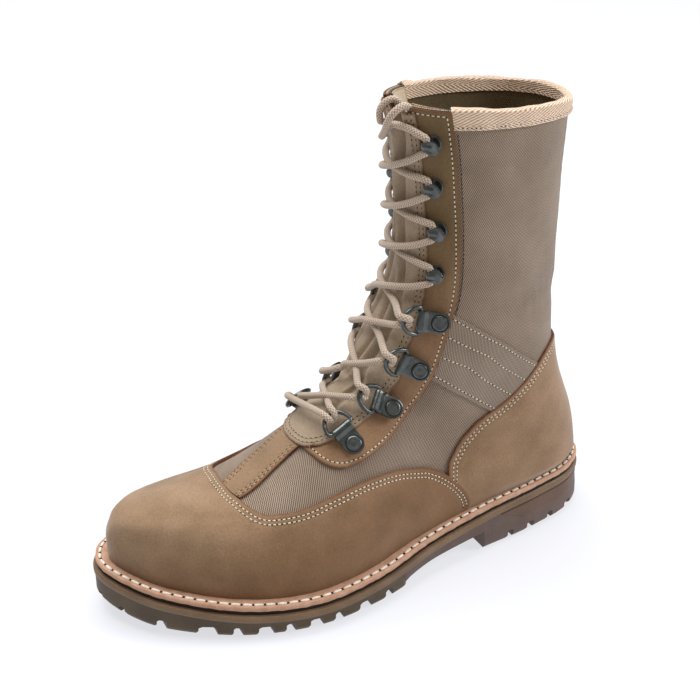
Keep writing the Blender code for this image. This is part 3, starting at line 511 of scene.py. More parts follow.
# height of the tread over the length: flat, then the toe spring
TREAD = [(-10, 0), (234, 0), (235, 0), (250, 0.3), (270, 1.8), (290, 5), (306, 9.5), (320, 15)]
HEEL_FRONT, TREAD_BACK, LUG_DEPTH = 86.0, 147.5, 6.6
# the lip's foot and the top of the heel panels below the sole's top, and where the heel's
# grey-brown gives way to the olive of the forepart
LIP_FOOT, PANEL_TOP, OLIVE_FROM = 5.6, 5.9, 147
AROUND = np.linspace(0, 1, 361)


def sole_loop(grow, height):
    """The welt's edge moved out by grow, at a height over its length."""
    line = sole_line(grow, AROUND)
    return np.column_stack([line, height(line[:, 1])])


def tread(t):
    """Height of the tread at a distance from the heel."""
    return curve(TREAD, t)


def below(thick, more=0.0):
    """The height that lies a thickness, and a little more, under the welt's upper face."""
    return lambda t: welt_top(t) - thick - more


def toe_part(t):
    """0 at the heel, 1 along the sides."""
    return np.clip((t - 60) / 60, 0, 1)


def toe_end(t):
    """0 along the sides, 1 at the toe."""
    return np.clip((t - 255) / 40, 0, 1)


# moulded rubber has a dull shine and a faint pebbled grain, drawn coarser than the real
# quarter millimetre so that it shows
rubber = mottled("moulded_brown_rubber", 0.5, "7B6248", "69523C", 0.03, 0.0009, 0.0002,
                 Specular_IOR_Level=0.35)
# how far the wall stands out from the welt's edge at the heel, along the sides and at the
# toe, and its height, from the tread up to the lip and the sole's top
wall = [(-2.4, -3.3, -1.7, tread), (-1.6, -2.5, -0.6, lambda t: tread(t) + 0.5),
        (0.4, -0.8, 1.2, lambda t: tread(t) + 3.0), (0.6, -0.6, 1.4, lambda t: tread(t) + 3.8),
        (0.4, -0.8, 1.3, lambda t: 0.30 * welt_top(t) + tread(t) * 0.6),
        (-0.6, 0.0, 1.2, lambda t: below(SOLE_TOP, 5.8)(t) + 0.8 * toe_part(t)),
        (-0.4, 0.4, 1.3, below(SOLE_TOP, 5.0)), (0.4, 1.4, 1.7, below(SOLE_TOP, 4.2)),
        (0.5, 1.7, 1.8, below(SOLE_TOP, 3.4)), (0.5, 1.7, 1.8, below(SOLE_TOP, 1.9)),
        (0.1, 1.0, 1.0, below(SOLE_TOP, 0.9)), (-0.6, -0.6, -0.6, below(SOLE_TOP, 0.2)),
        (-1.6, -1.6, -1.6, below(SOLE_TOP))]
wall = [sole_loop(lambda t: heel + (side - heel) * toe_part(t) + (toe - side) * toe_end(t), height)
        for heel, side, toe, height in wall]
outsole = closed(laid("tread_and_heel", np.array(wall), rubber), caps=True)
# the arch between heel and tread, seen from the side
ARCH = [(HEEL_FRONT, -4), (HEEL_FRONT + 1.2, 13.2), (112, 10.6), (127, 9), (142, 6.6),
        (TREAD_BACK - 1.5, 5.2), (TREAD_BACK, -4)]
# gaps between lugs: place, width at the tread, how far in from the edge (0 = right across)
GAPS = [(261.8, 9.8, 0), (233, 8.6, 0), (205.6, 8.2, 0), (175, 8.6, 0), (283, 5, 15),
        (247, 5.4, 13), (220, 5.6, 13), (192, 6, 13), (158.5, 6, 13), (51.4, 6, 0),
        (18.5, 7, 0), (67, 4.8, 11), (35, 4.8, 11)]


def cutter(sections):
    """A solid lofted through outlines, used to cut the sole and then removed."""
    loops = [np.concatenate([s, s[:1]]) for s in sections]
    return closed(laid("cutter", np.array(loops)), caps=True)


def cut_away(tool):
    """Cuts a tool's shape out of the sole and throws the tool away."""
    apply(outsole, "BOOLEAN", operation="DIFFERENCE", solver="EXACT", object=tool)
    bpy.data.objects.remove(tool)


cut_away(cutter([np.array([(x, t, z) for t, z in ARCH]) for x in (-90, 90)]))


def cut_gap(start, end, wide, low, depth):
    """A gap between lugs, cut from one point of the tread to another."""
    start, end = np.array(start, float), np.array(end, float)
    along = (end - start) / np.linalg.norm(end - start)
    across = np.array([-along[1], along[0]]) * wide
    # a draught for the mould: each gap narrows upwards and has rounded corners at its roof
    outline = [(-0.62, -4), (0.62, -4), (0.44, depth - 0.9), (0.24, depth), (-0.24, depth),
               (-0.44, depth - 0.9)]
    cut_away(cutter([np.array([(*(p + across * share), low + up) for share, up in outline])
                     for p in (start, end)]))


rim = sole_line(0, np.linspace(0, 1, 401))
for t, wide, reach in GAPS:
    spans = [(-90, 90)]
    if reach:
        spans = []
        for part in (rim[:200], rim[200:]):
            x = float(part[np.abs(part[:, 1] - t).argmin(), 0])
            spans.append((x - reach, 90) if x > 0 else (-90, x + reach))
    for x0, x1 in spans:
        cut_gap((x0, t), (x1, t), wide, float(tread(t)), LUG_DEPTH)
# small notches round the toe tip: share of the way round the sole's edge
NOTCHES, NOTCH_WIDE, NOTCH_DEPTH, NOTCH_REACH = (0.479, 0.503, 0.527, 0.551), 4.8, 5.6, 9
for share in NOTCHES:
    before, tip, after = sole_line(0, [share - 0.004, share, share + 0.004])
    inward = np.array([-(after - before)[1], (after - before)[0]])
    inward /= np.linalg.norm(inward)
    cut_gap(tip - inward * NOTCH_REACH, tip + inward * NOTCH_REACH, NOTCH_WIDE,
            float(tread(tip[1])), NOTCH_DEPTH)
# below the lip the rubber is darker: a greyer brown at the heel, an olive one under the toe
for lower in (("grey_brown_rubber", 0.55, "65524A", "5A4841"),
              ("dark_olive_rubber", 0.55, "564734", "4A3D2B")):
    outsole.data.materials.append(mottled(*lower, 0.02, 0.0009, 0.0002, Specular_IOR_Level=0.35))
for face in outsole.data.polygons:
    t, z = MID_T - face.center.y * 1000, face.center.z * 1000
    face.material_index = int(z < below(SOLE_TOP, LIP_FOOT)(t)) * (1 + int(t > OLIVE_FROM))
fixed(outsole, "outsole_rubber", "outsole", smooth=30)

# a flat moulded panel stands half a millimetre proud on each side of the heel, its foot
# given as distance from the heel and height
HANDS = ((1, "left"), (-1, "right"))
PANEL_FOOT = [(6, 20.5), (20, 12.8), (56, 12.8), (75, 20.5)]
# its smoother face looks a little redder than the rubber beside it
heel_rubber = mottled("heel_panel_rubber", 0.5, "644C3E", "584334", 0.02, 0.0009, 0.0002,
                      Specular_IOR_Level=0.35)
for side, hand in HANDS:
    line = sole_line(0, np.linspace(0, 0.25, 400) if side > 0 else np.linspace(1, 0.75, 400))
    step = np.gradient(line, axis=0)
    off = side * np.column_stack([step[:, 1], -step[:, 0]]) / np.hypot(*step.T)[:, None]
    marks = np.linspace(PANEL_FOOT[0][0], PANEL_FOOT[-1][0], 60)
    x, off_x, off_t = [np.interp(marks, line[:, 1], c) for c in (line[:, 0], *off.T)]
    foot = between(PANEL_FOOT, marks)
    z = foot + (below(SOLE_TOP, PANEL_TOP)(marks) - foot) * np.linspace(0, 1, 8)[:, None]
    # the heel wall leans in as it rises
    grow = np.interp(z, (3.8, 10, 21.7), (0.6, 0.4, -0.6)) + 0.5
    points = np.stack([x + off_x * grow, marks + off_t * grow, z], -1)
    facing_out = np.stack(np.broadcast_arrays(off_x, off_t, 0 * z), -1)
    backed(laid("heel_panel_" + hand, points, heel_rubber, out=facing_out), 1.2,
           "outsole_rubber", rounding=0.3, smooth=30)

# ---- midsole ---------------------------------------------------------------------------
# A sheet of rubber 1.5 mm thick, cemented between the welt and the outsole. Only its
# trimmed edge shows, drawn near black as a fine dark line set back under the welt.
def sole_loops(*rows):
    """The closed section of a strip round the sole: how far out and how high each corner is."""
    loops = [sole_loop(*row) for row in rows]
    return np.array(loops + loops[:1])


# the sheet is drawn nearly black and without shine
dark_rubber = mottled("dark_rubber_sheet", 0.75, "1E1712", "2A2019", 0.01, 0.0006, 0.0001,
                      Specular_IOR_Level=0.2)
rows = sole_loops((-14, below(SOLE_TOP, -0.1)), (-0.8, below(SOLE_TOP, -0.1)),
                  (-0.8, below(WELT_THICK, 0.1)), (-14, below(WELT_THICK, 0.1)))
fixed(closed(laid("midsole_sheet", rows, dark_rubber)), "midsole_rubber", "midsole")

# ---- welt and its stitches -------------------------------------------------------------
# Vegetable tanned leather strip, 3.4 mm thick, sewn down to the sole with a doubled waxed
# thread 1.9 mm across; its cut edge is rounded by hand and left raw.

# bark tanning leaves the undyed leather a warm pinkish tan with a soft shine
welt_leather = mottled("vegetable_tanned_welt", 0.62, "C49C83", "B2886C", 0.006, 0.0008, 0.0004,
                       Specular_IOR_Level=0.3)
# its upper face has a shallow channel in which the stitches lie
rows = sole_loops((-13, below(0)), (-3.6, below(0)), (-3.0, below(0.22)), (-2.0, below(0.22)),
                  (-1.3, below(0.02)), (-0.6, below(0.1)), (-0.1, below(0.6)), (0.1, below(1.5)),
                  (0.0, below(WELT_THICK, -0.8)), (-0.3, below(WELT_THICK, -0.25)),
                  (-0.9, below(WELT_THICK, -0.05)), (-13, below(WELT_THICK, -0.05)))
# the knife leaves the edge a little uneven
shake = (0.16 * np.sin(AROUND * 2 * pi * 61) + 0.11 * np.sin(AROUND * 2 * pi * 103 + 1)
         + 0.08 * np.sin(AROUND * 2 * pi * 191 + 2))
rows[6:10] += unit(rows[8] - rows[0]) * (shake * 0.8)[None, :, None]
fixed(closed(laid("welt_strip", rows, welt_leather)), "welt_leather", "welt")

# waxed thread is off-white with a soft shine, and the holes between stitches are painted dark as
# their shadow
white_thread = mottled("waxed_white_thread", 0.6, "F2E9DE", "DCCDBD", 0.002, 0.0005, 0.0002)
painted_hole_shadow = new_material("needle_hole_shadow", 0.95, Base_Color=linear("2A1D12"),
                           Specular_IOR_Level=0.0)[0]


def capsule(wide, flat, long):
    """Points and faces of one stitch lying along X: a uv sphere drawn out lengthways."""
    bpy.ops.object.select_all(action="DESELECT")
    bpy.ops.mesh.primitive_uv_sphere_add(segments=7, ring_count=6, radius=1,
                                         rotation=(0, pi / 2, 0))
    bead = bpy.context.object
    bpy.ops.object.transform_apply()
    points = np.array([v.co for v in bead.data.vertices])
    points[:, 0] = np.sign(points[:, 0]) * np.abs(points[:, 0])**0.7
    # the sphere's faces come in no fixed order, so they are sorted by their corners
    faces = sorted(list(face.vertices) for face in bead.data.polygons)
    bpy.data.objects.remove(bead)
    return points * (long / 2, wide / 2, flat / 2), faces


def sewn(name, lines, thread, pitch, wide, proud=0.1, share=0.66):
    """Rows of stitches along lines of points and normals, with a painted shadow of the needle hole
    between each:
    share of the pitch is thread, and it lies proud of the line."""
    stitch, stitch_faces = capsule(wide, wide * 0.75, pitch * share)
    # painted shadow: a flat dark bead between the stitches stands for the shade in each needle hole
    hole, hole_faces = capsule(wide * 0.9, 0.12, pitch * (1 - share) + wide * 0.5)
    verts, faces, which = [], [], []
    for points, normals in lines:
        run = lengths(points)
        count = max(int(run[-1] / pitch), 1)
        for kind, shape, shape_faces in ((0, stitch, stitch_faces), (1, hole, hole_faces)):
            at = (np.arange(count + kind) + 0.5 - 0.5 * kind) * run[-1] / count
            place, up = read(points, run, at), read(normals, run, at)
            step = pitch * 0.3
            ahead = unit(read(points, run, at + step) - read(points, run, at - step))
            up = unit(up - ahead * (up * ahead).sum(1, keepdims=True))
            across = np.cross(up, ahead)
            lift = 0.02 if kind else proud
            for p, u, d, c in zip(place, up, ahead, across):
                base = len(verts)
                verts.extend(p + u * (lift + s[2]) + d * s[0] + c * s[1] for s in shape)
                faces.extend([base + v for v in f] for f in shape_faces)
                which.extend([kind] * len(shape_faces))
    mesh = bpy.data.meshes.new(name)
    mesh.from_pydata(world(verts).tolist(), [], faces)
    piece = bpy.data.objects.new(name, mesh)
    scene.collection.objects.link(piece)
    mesh.materials.append(thread)
    mesh.materials.append(painted_hole_shadow)
    mesh.polygons.foreach_set("material_index", which)
    pick(piece)
    in_edit(right_side_out)
    fixed(piece, "lace_cord", smooth=80)


WELT_PITCH, WELT_THREAD = 6.3, 1.9
seam = sole_loop(-2.5, below(0.1))
sewn("welt_stitches", [(seam, np.tile((0.0, 0, 1), (len(seam), 1)))], white_thread, WELT_PITCH,
     WELT_THREAD, 0.05, 0.84)

# ---- insole ----------------------------------------------------------------------------
# A fibre board faced with dark felt, laid in over the sole and cemented down. It fills the
# boot's floor from the foot line of the lining inwards and rises a little to the middle.
LEATHER, CANVAS = 1.6, 2.2
FACE = -(LEATHER + GAP)          # the canvas lies under the leather overlays
# felt swallows the light: a dark olive with a faint bloom
felt = mottled("dark_sock_felt", 0.95, "4A412C", "3B3321", 0.008, 0.0006, 0.0003,
               Sheen_Weight=0.2)
ways = np.linspace(0, 2, 241) % 2
foot_line = skin(ways, 0.02, FACE - CANVAS - GAP)[0]
rows = [foot_line * (1 - s, 1, 1) + (0, 0, 3.0 + 1.2 * np.sin(pi * s / 2)) for s in
        np.linspace(0, 1, 12)]
fixed(laid("sock_insole", np.array(rows), felt, out=np.tile((0.0, 0, 1), (12, 241, 1))),
      "insole_board", "insole")

# ---- canvas quarters, shaft and lining -------------------------------------------------
# Cotton duck in a 3/1 twill, cut in two quarters that run up into the shaft, with a dark
# olive twill lining. The cloth is lasted tight low down and stands in soft waves above.

# troughs pressed into the upper: way round and level at both ends, depth and width in mm
TROUGHS = [(0.50, 6.1, 0.66, 7.6, 0.7, 6), (0.44, 6.6, 0.58, 8.6, 0.5, 5),
           (0.14, 9.6, 0.52, 9.9, 0.9, 7), (0.02, 8.6, 0.30, 8.9, 0.8, 6),
           (0.30, 10.6, 0.50, 15.0, 0.8, 9), (0.10, 11.0, 0.16, 15.5, 0.7, 9),
           (0.20, 10.2, 0.42, 10.9, -0.8, 6), (0.02, 9.3, 0.16, 9.7, -0.9, 5),
           (0.60, 5.4, 0.74, 6.3, 0.5, 5), (0.40, 5.6, 0.52, 6.4, 0.4, 5),
           (0.72, 3.3, 0.90, 3.7, 0.5, 9), (0.66, 4.4, 0.86, 3.0, -0.5, 12),
           (1.50, 6.1, 1.36, 7.6, 0.7, 6), (1.86, 9.4, 1.50, 9.9, 0.9, 7),
           (1.70, 10.6, 1.52, 15.0, 0.8, 9), (1.90, 11.0, 1.84, 15.5, 0.7, 9),
           (1.80, 10.2, 1.58, 10.9, -0.8, 6), (1.28, 3.3, 1.10, 3.7, 0.5, 9),
           (1.40, 5.4, 1.26, 6.3, 0.5, 5)]


def waves(points):
    """Height of the soft troughs and ridges at points of the upper."""
    rise = np.zeros(points.shape[:-1])
    for a0, l0, a1, l1, depth, wide in TROUGHS:
        trail = skin(np.linspace(a0, a1, 9), np.linspace(l0, l1, 9))[0]
        gap = np.min([np.linalg.norm(points - p, axis=-1) for p in trail], 0)
        rise -= depth * np.exp(-(gap / wide)**2)
    x, t, z = np.moveaxis(points, -1, 0)
    return rise + 0.14 * np.sin(x / 9 + z / 11) * np.sin(t / 8 - z / 14)


def cover(a, level, out):
    """Points and normals on the upper, with its waves."""
    flat, normal = skin(a, level)
    return skin(a, level, out + waves(flat))[0], normal


def run_of(points, start=0):
    """How far each point of a grid lies along its row and up its column, in millimetres."""
    across = np.array([lengths(row) for row in points])
    up = np.array([lengths(column) for column in points.swapaxes(0, 1)]).T
    return np.stack([across - across[:, start:start + 1], up], -1)


# half width of the lacing gap at each level
SLOT = [(7, 15), (7.6, 17.5), (8, 18), (9, 17), (10, 15.5), (11, 14.5), (12, 13.5), (13, 12.5),
        (17, 12)]


def gap_edge(level, side):
    """Way round of the canvas edge along the lacing gap."""
    wide = float(curve(SLOT, max(level, 7))) * np.clip((level - 6.7) / 0.3, 0.12, 1)
    return at_side(level, wide, side)


def woven(material, shader, weave, low, high, groove, thread, strength, depth):
    """Colours a cloth from its shadowed grooves up to its threads and raises the weave."""
    deep = add(material, "MapRange", {0: weave.outputs[0], 1: low, 2: high})
    mix = add(material, "Mix", {0: deep.outputs[0], 6: groove, 7: thread}, data_type="RGBA")
    bump = add(material, "Bump", {"Height": weave.outputs[0], "Strength": strength,
                                  "Distance": depth})
    return coloured(material, shader, mix, bump)


def twill(name, base, other, shade, thread, angle, depth, sheen):
    """Woven twill: ribs at an angle to the cloth, each thread crossed by finer ones."""
    material, shader = new_material(name, 0.92, Sheen_Weight=sheen, Sheen_Roughness=0.5)
    cloth = add(material, "TexCoord").outputs["UV"]
    turned = add(material, "Mapping", {"Vector": cloth, "Rotation": (0, 0, angle)})
    # one unit of the wave's own scale is 0.314 of a period
    rib = add(material, "TexWave", {"Vector": turned.outputs[0], "Scale": 0.314 / thread,
                                    "Distortion": 0.5, "Detail": 2, "Detail Scale": 0.5})
    yarn = add(material, "TexWave", {"Vector": turned.outputs[0],
                                     "Scale": 0.314 / (thread * 0.8), "Distortion": 0.8,
                                     "Detail": 1}, bands_direction="Y")
    weave = add(material, "Mix", {0: 0.3, 2: rib.outputs[1], 3: yarn.outputs[1]})
    place = add(material, "TexCoord").outputs["Object"]
    cloud = add(material, "TexNoise", {"Vector": place, "Scale": 28, "Detail": 5,
                                       "Roughness": 0.6})
    ramp = add(material, "MapRange", {0: cloud.outputs[0], 1: 0.36, 2: 0.64})
    tone = add(material, "Mix", {0: ramp.outputs[0], 6: linear(base), 7: linear(other)},
               data_type="RGBA")
    dark = add(material, "Mix", {0: 1.0, 6: tone.outputs[2], 7: linear(shade)},
               data_type="RGBA", blend_type="MULTIPLY")
    return woven(material, shader, weave, 0.15, 0.85, dark.outputs[2], tone.outputs[2], 0.6, depth)


# washed cotton is matt, with paler worn patches over a fine slanting rib; the real ribs are
# 0.8 mm apart, drawn at 1 mm, and the lining's at 1.3 mm, so that they show
canvas_twill = twill("cotton_duck_twill", "B19C88", "9F8A77", "70665C", 1.0, radians(28),
                     0.00022, 0.25)
lining_twill = twill("olive_lining_twill", "74623F", "675636", "A09A90", 1.3, radians(-35),
                     0.0002, 0.1)
LEVEL_ROWS = np.concatenate([np.linspace(0, 6.6, 50), np.linspace(6.7, 7.02, 7),
                             np.linspace(7.15, TOP, 84)])
ways_in = [(gap_edge(level, 1), gap_edge(level, -1) - 2) for level in LEVEL_ROWS]
a = np.array([np.linspace(first, last, 231) for first, last in ways_in])
level = np.repeat(LEVEL_ROWS[:, None], a.shape[1], 1)
points, normals = cover(a % 2, level, FACE)
# the ribs keep one slant to the ground: UV is the way round seen from above, counted from
# the middle of each side, and the height
run = run_of(points * (1, 1, 0))[..., 0]
for row, t in zip(run, points[..., 1]):
    row[:115] -= np.interp(-100, -t[:115], row[:115])
    row[115:] -= np.interp(100, t[115:], row[115:])
grain = np.stack([run, points[..., 2]], -1)
backed(laid("canvas_quarters_and_shaft", points, canvas_twill, out=normals, uv=grain), 1.2,
       "canvas", "upper")
# the lining is drawn on every second point
points, normals = cover(a[::2, ::2] % 2, level[::2, ::2], FACE - CANVAS + 0.05)
backed(laid("olive_lining", points, lining_twill, out=-normals, uv=run_of(points, 57)), 0.6,
       "canvas")

# ---- ankle band ------------------------------------------------------------------------
# A doubled strip of the same canvas laid over each ankle from the facing to the counter,
# sewn down with a row near each edge and two more between.

# its two edges seen from the side: distance from the heel and height
BAND_TOP, BAND_LOW = [(107, 157), (77.5, 135.5), (46, 111)], [(121, 120.5), (100, 105.5), (78, 89)]
BAND_OVER = FACE + 0.9          # bands and stay lie this far out, doubled over the canvas
# a greyer cut of the same cotton, its ribs running nearly along the strip
canvas_band = twill("cotton_band_twill", "AE9C8A", "A08D7B", "857C74", 1.0, radians(-12),
                    0.00022, 0.25)
band_rows = []
for side, hand in ((1, "outer"), (-1, "inner")):
    low, high = [[nearest(*p, side) for p in read(np.array(edge), range(3), np.linspace(0, 2, 60))]
                 for edge in (BAND_LOW, BAND_TOP)]
    share = np.linspace(0, 1, 34)[:, None, None]
    a, level = np.moveaxis(np.array(low) * (1 - share) + np.array(high) * share, -1, 0)
    # the look-up steps by whole cells: smoothed along the band
    for grid in (a, level):
        for _ in range(60):
            grid[:, 1:-1] = (grid[:, :-2] + grid[:, 2:] + 2 * grid[:, 1:-1]) / 4
    points, normals = cover(a, level, BAND_OVER)
    backed(laid("ankle_band_" + hand, points, canvas_band, out=normals, uv=run_of(points)), 0.9,
           "canvas")
    band_rows += [(points[row], normals[row]) for row in (2, 12, 22, 31)]

# ---- back stay -------------------------------------------------------------------------
# The two quarters meet up the back of the shaft. A narrow strip of the band's canvas covers
# that seam from the counter to the collar, with a row of stitches near each edge.
STAY_HALF, STAY_FOOT, STAY_TOP = 8.0, 6.1, 16.5
levels = np.linspace(STAY_FOOT, STAY_TOP, 90)
half_way = np.array([STAY_HALF / lengths(skin(np.linspace(0, 1, 80), lv)[0])[-1]
                     for lv in levels])
a = half_way[:, None] * np.linspace(-1, 1, 15)[None]
stay = cover(a % 2, np.repeat(levels[:, None], 15, 1), BAND_OVER)
backed(laid("back_stay", stay[0], canvas_band, out=stay[1], uv=run_of(stay[0])), 0.9, "canvas")

# ---- nubuck vamp, counter, strip and facings -------------------------------------------
# Sand coloured nubuck 1.6 mm thick, buffed to a short nap: cloudy, matt, with cut edges
# that the burnishing iron leaves reddish brown. Each piece lies on the canvas.
FRAYS = 300                         # tufts to the metre, where the burnished line breaks up


def nubuck_finish(name, base, other, edge, painted_shade_tone="FFFFFF", way=(0, 0, 1), start=0.14,
                  end=0.21):
    """Nubuck with darker, redder cut edges; the edge attribute is the distance to them, and
    painted_shade_tone, a painted shade, comes in along a way over the boot, from start to end in
    metres."""
    # the nap is finer than shows: its grain is drawn about a millimetre coarse
    material = mottled(name, 0.88, base, other, 0.022, 0.0011, 0.00025, Sheen_Weight=0.3,
                       Sheen_Roughness=0.45, Specular_IOR_Level=0.25)
    colour = material.node_tree.nodes["Principled BSDF"].inputs["Base Color"]
    tone = colour.links[0].from_socket
    near = add(material, "Attribute", attribute_name="edge")
    rim = add(material, "MapRange", {0: near.outputs["Fac"], 1: 0.25, 2: 1.5, 3: 1.0, 4: 0.0})
    place = add(material, "TexCoord").outputs["Object"]
    rough = add(material, "TexNoise", {"Vector": place, "Scale": FRAYS, "Detail": 3})
    worn = add(material, "MapRange", {0: rough.outputs[0], 1: 0.3, 2: 0.7, 3: 0.55, 4: 1.0})
    much = add(material, "Math", {0: rim.outputs[0], 1: worn.outputs[0]}, operation="MULTIPLY")
    # painted shade: from start to end along the way, the nap's colour is multiplied toward the shade
    # tone, as the top light falls off
    far = add(material, "VectorMath", {0: place, 1: way}, operation="DOT_PRODUCT")
    share = add(material, "MapRange", {0: far.outputs["Value"], 1: start, 2: end})
    top_light_shade = add(material, "Mix", {0: share.outputs[0], 6: tone, 7: linear(painted_shade_tone)},
                  data_type="RGBA", blend_type="MULTIPLY")
    mix = add(material, "Mix", {0: much.outputs[0], 6: top_light_shade.outputs[2], 7: linear(edge)},
              data_type="RGBA")
    material.node_tree.links.new(mix.outputs[2], colour)
    return material


# matt sand colour in soft clouds, and a red-brown line that breaks up along each cut edge
nubuck = nubuck_finish("sand_nubuck", "957659", "84674B", "6E452D")
# painted light and shade: the toe top is left paler, and the vamp and strip are painted darker down
# the sides and toward the heel, as the top light falls off
toe_nubuck = nubuck_finish("toe_nubuck", "987C62", "876D52", "6E452D", "D9C8B3",
                           (0, 0.35, -1), -0.105, -0.057)
# painted shade: the facings are painted darker up the shaft, where they stand upright away from the
# top light
facing_nubuck = nubuck_finish("facing_nubuck", "947356", "85664A", "6B452C", "CDD8C8")
# the hot iron leaves the raw edge itself a dry red-brown
cut_edge = mottled("burnished_nubuck_edge", 0.85, "7B4E35", "633C26", 0.004, 0.0007, 0.0003)


def apart(points, others):
    """Squared distance of each point to each of the others."""
    return (points**2).sum(1)[:, None] + (others**2).sum(1)[None] - 2 * points @ others.T


def from_edges(points, edges):
    """Distance of each grid point to the nearest of a laid piece's cut edges, in mm."""
    sides = {"bottom": points[0], "top": points[-1], "left": points[:, 0],
             "right": points[:, -1]}
    line = np.concatenate([respace(sides[k], np.linspace(0, 1, 4 * len(sides[k])))
                           for k in edges])
    gap = apart(points.reshape(-1, 3), line).min(1)
    return np.sqrt(np.clip(gap, 0, None)).reshape(points.shape[:2])


# distances of the double seams from the cut edge: on vamp and counter, strip, facings, tongue
SEAMS, STRIP_SEAMS, FACING_SEAM, TONGUE_SEAMS = (3, 5.5), (1.8, 3.8), (2.6,), (2.2, 4.6)


def leather(name, a, level, edges, nodes, material, out, dips=SEAMS):
    """Leather piece on the upper: its cut edges turn down and the seams draw it in."""
    flat = skin(a % 2, level)[0]
    near = from_edges(flat, edges)
    rise = out - 0.45 * np.exp(-(near / 0.7)**2)
    for dip in dips:
        rise = rise - 0.3 * np.exp(-((near - dip) / 0.9)**2)
    points, normals = cover(a % 2, level, rise)
    piece = laid(name, points, material, cut_edge, out=normals, values={"edge": near})
    backed(piece, 1.75, "nubuck", *nodes, rim=1, smooth=50)
    return points, normals


def inset_line(laid_piece, sides, distance, first=0.0, last=1.0):
    """The line running a distance inside a laid piece's edge, along one or more sides."""
    points, normals = laid_piece
    lines = None                    # the edge, its normals and a line just inside it
    for side in sides.split():
        outermost, within = {"b": (0, 2), "t": (-1, -3), "l": (0, 2), "r": (-1, -3)}[side[0]]
        grids = [g if side in ("bottom", "top") else g.swapaxes(0, 1) for g in laid_piece]
        new = [grids[0][outermost], grids[1][outermost], grids[0][within]]
        if lines:
            gap = [np.linalg.norm(new[0][end] - lines[0][-1]) for end in (0, -1)]
            new = [np.concatenate([old, line[::-1] if gap[0] > gap[1] else line])
                   for old, line in zip(lines, new)]
        lines = new
    run = lengths(lines[0])
    marks = np.linspace(first, last, int(run[-1] * (last - first) / 0.8)) * run[-1]
    edge, up, inner = [read(line, run, marks) for line in lines]
    inward = unit(np.cross(up, np.gradient(edge, axis=0)))
    inward *= np.sign(((inner - edge) * inward).sum())
    line = edge + inward * distance
    # round a tight corner the points that come too near the edge are left out
    gap = np.linalg.norm(line[:, None] - edge[None], axis=2).min(1)
    line = line[gap > distance * 0.94]
    # set down on the piece along the normal of its nearest point
    flat = points.reshape(-1, 3)
    near = apart(line, flat).argmin(1)
    up = normals.reshape(-1, 3)[near]
    line = line + up * ((flat[near] - line) * up).sum(1, keepdims=True)
    for _ in range(3):
        line[1:-1] = (line[:-2] + 2 * line[1:-1] + line[2:]) / 4
    return line, up


# upper edges of vamp and counter: way round, level; then the counter's front: level, way round
VAMP_EDGE = [(0.3207, 0.333), (0.3274, 0.69), (0.346, 1.455), (0.384, 2.476), (0.4195, 3.1),
             (0.49, 4.09), (0.567, 4.862), (0.648, 5.30), (0.705, 5.41), (0.7466, 5.29),
             (0.78, 5.03), (0.796, 4.65), (0.815, 4.36), (0.8526, 4.48), (0.8946, 4.74),
             (0.938, 4.94), (1.0, 5.01)]
COUNTER_EDGE = [(0, 6.35), (0.06, 6.45), (0.144, 6.68), (0.187, 6.6), (0.218, 6.403),
                (0.255, 6.137), (0.288, 5.885), (0.315, 5.68), (0.347, 5.5), (0.366, 5.38),
                (0.38, 5.14), (0.392, 4.6)]
COUNTER_FRONT = [(0, 0.374), (2, 0.375), (2.78, 0.377), (3.47, 0.3805), (4.1, 0.389),
                 (4.6, 0.392), (7, 0.392)]
# the facing's outer edge from the foot of the lacing to the top: way round, level
FACING_EDGE = [(0.9411, 6.775), (0.9064, 6.663), (0.8669, 6.478), (0.8318, 6.318),
               (0.8008, 6.206), (0.7733, 6.161), (0.7477, 6.167), (0.7245, 6.243),
               (0.6994, 6.332), (0.6736, 6.453), (0.6475, 6.61), (0.633, 6.9),
               (0.6395, 7.333), (0.6676, 7.999), (0.6870, 9.0), (0.6953, 10.057),
               (0.7030, 10.8), (0.7125, 11.523), (0.7249, 12.4), (0.7345, 13.509),
               (0.7390, 14.401), (0.7430, 15.827), (0.7435, 17.0)]
rise_rows = (1 - (1 - np.linspace(0, 1, 52))**1.5)[:, None]
cols = np.concatenate([np.linspace(0.3215, 0.345, 8)[:-1], np.linspace(0.345, 1, 150)])
tops = curve(VAMP_EDGE, cols)
cols, tops = np.concatenate([cols, 2 - cols[::-1][1:]]), np.concatenate([tops, tops[::-1][1:]])
vamp = leather("vamp_nubuck", np.repeat(cols[None], 52, 0), rise_rows * tops[None],
               ("top", "left", "right"), ["vamp"], toe_nubuck, 0.45)

COUNTER_REACH = COUNTER_FRONT[-1][1]
cols = np.linspace(-COUNTER_REACH, COUNTER_REACH, 161)
level = rise_rows * curve(COUNTER_EDGE, np.abs(cols))[None]
a = cols * (1 + (curve(COUNTER_FRONT, level) / COUNTER_REACH - 1)
            * np.abs(cols / COUNTER_REACH)**6)
counter = leather("heel_counter_nubuck", a, level, ("top", "left", "right"), ["heel_counter"],
                  nubuck, 0.15)

# the strip: level, and how far it reaches to the outer and the inner side of the ridge
STRIP = [(5.0, 13.2, 6.5), (5.5, 12, 12), (6, 10, 14), (6.4, 9.5, 15), (6.86, 10.5, 16)]
STRIP_TOP = STRIP[-1][0]
levels = np.linspace(STRIP[0][0], STRIP_TOP, 60)
a = np.array([np.linspace(at_side(lv, curve(STRIP, lv)), at_side(lv, curve(STRIP, lv, 2), -1), 26)
              for lv in levels])
strip = leather("forepart_strip_nubuck", a, np.repeat(levels[:, None], 26, 1),
                ("left", "right"), ["vamp_strip"], toe_nubuck, 0.35, STRIP_SEAMS)

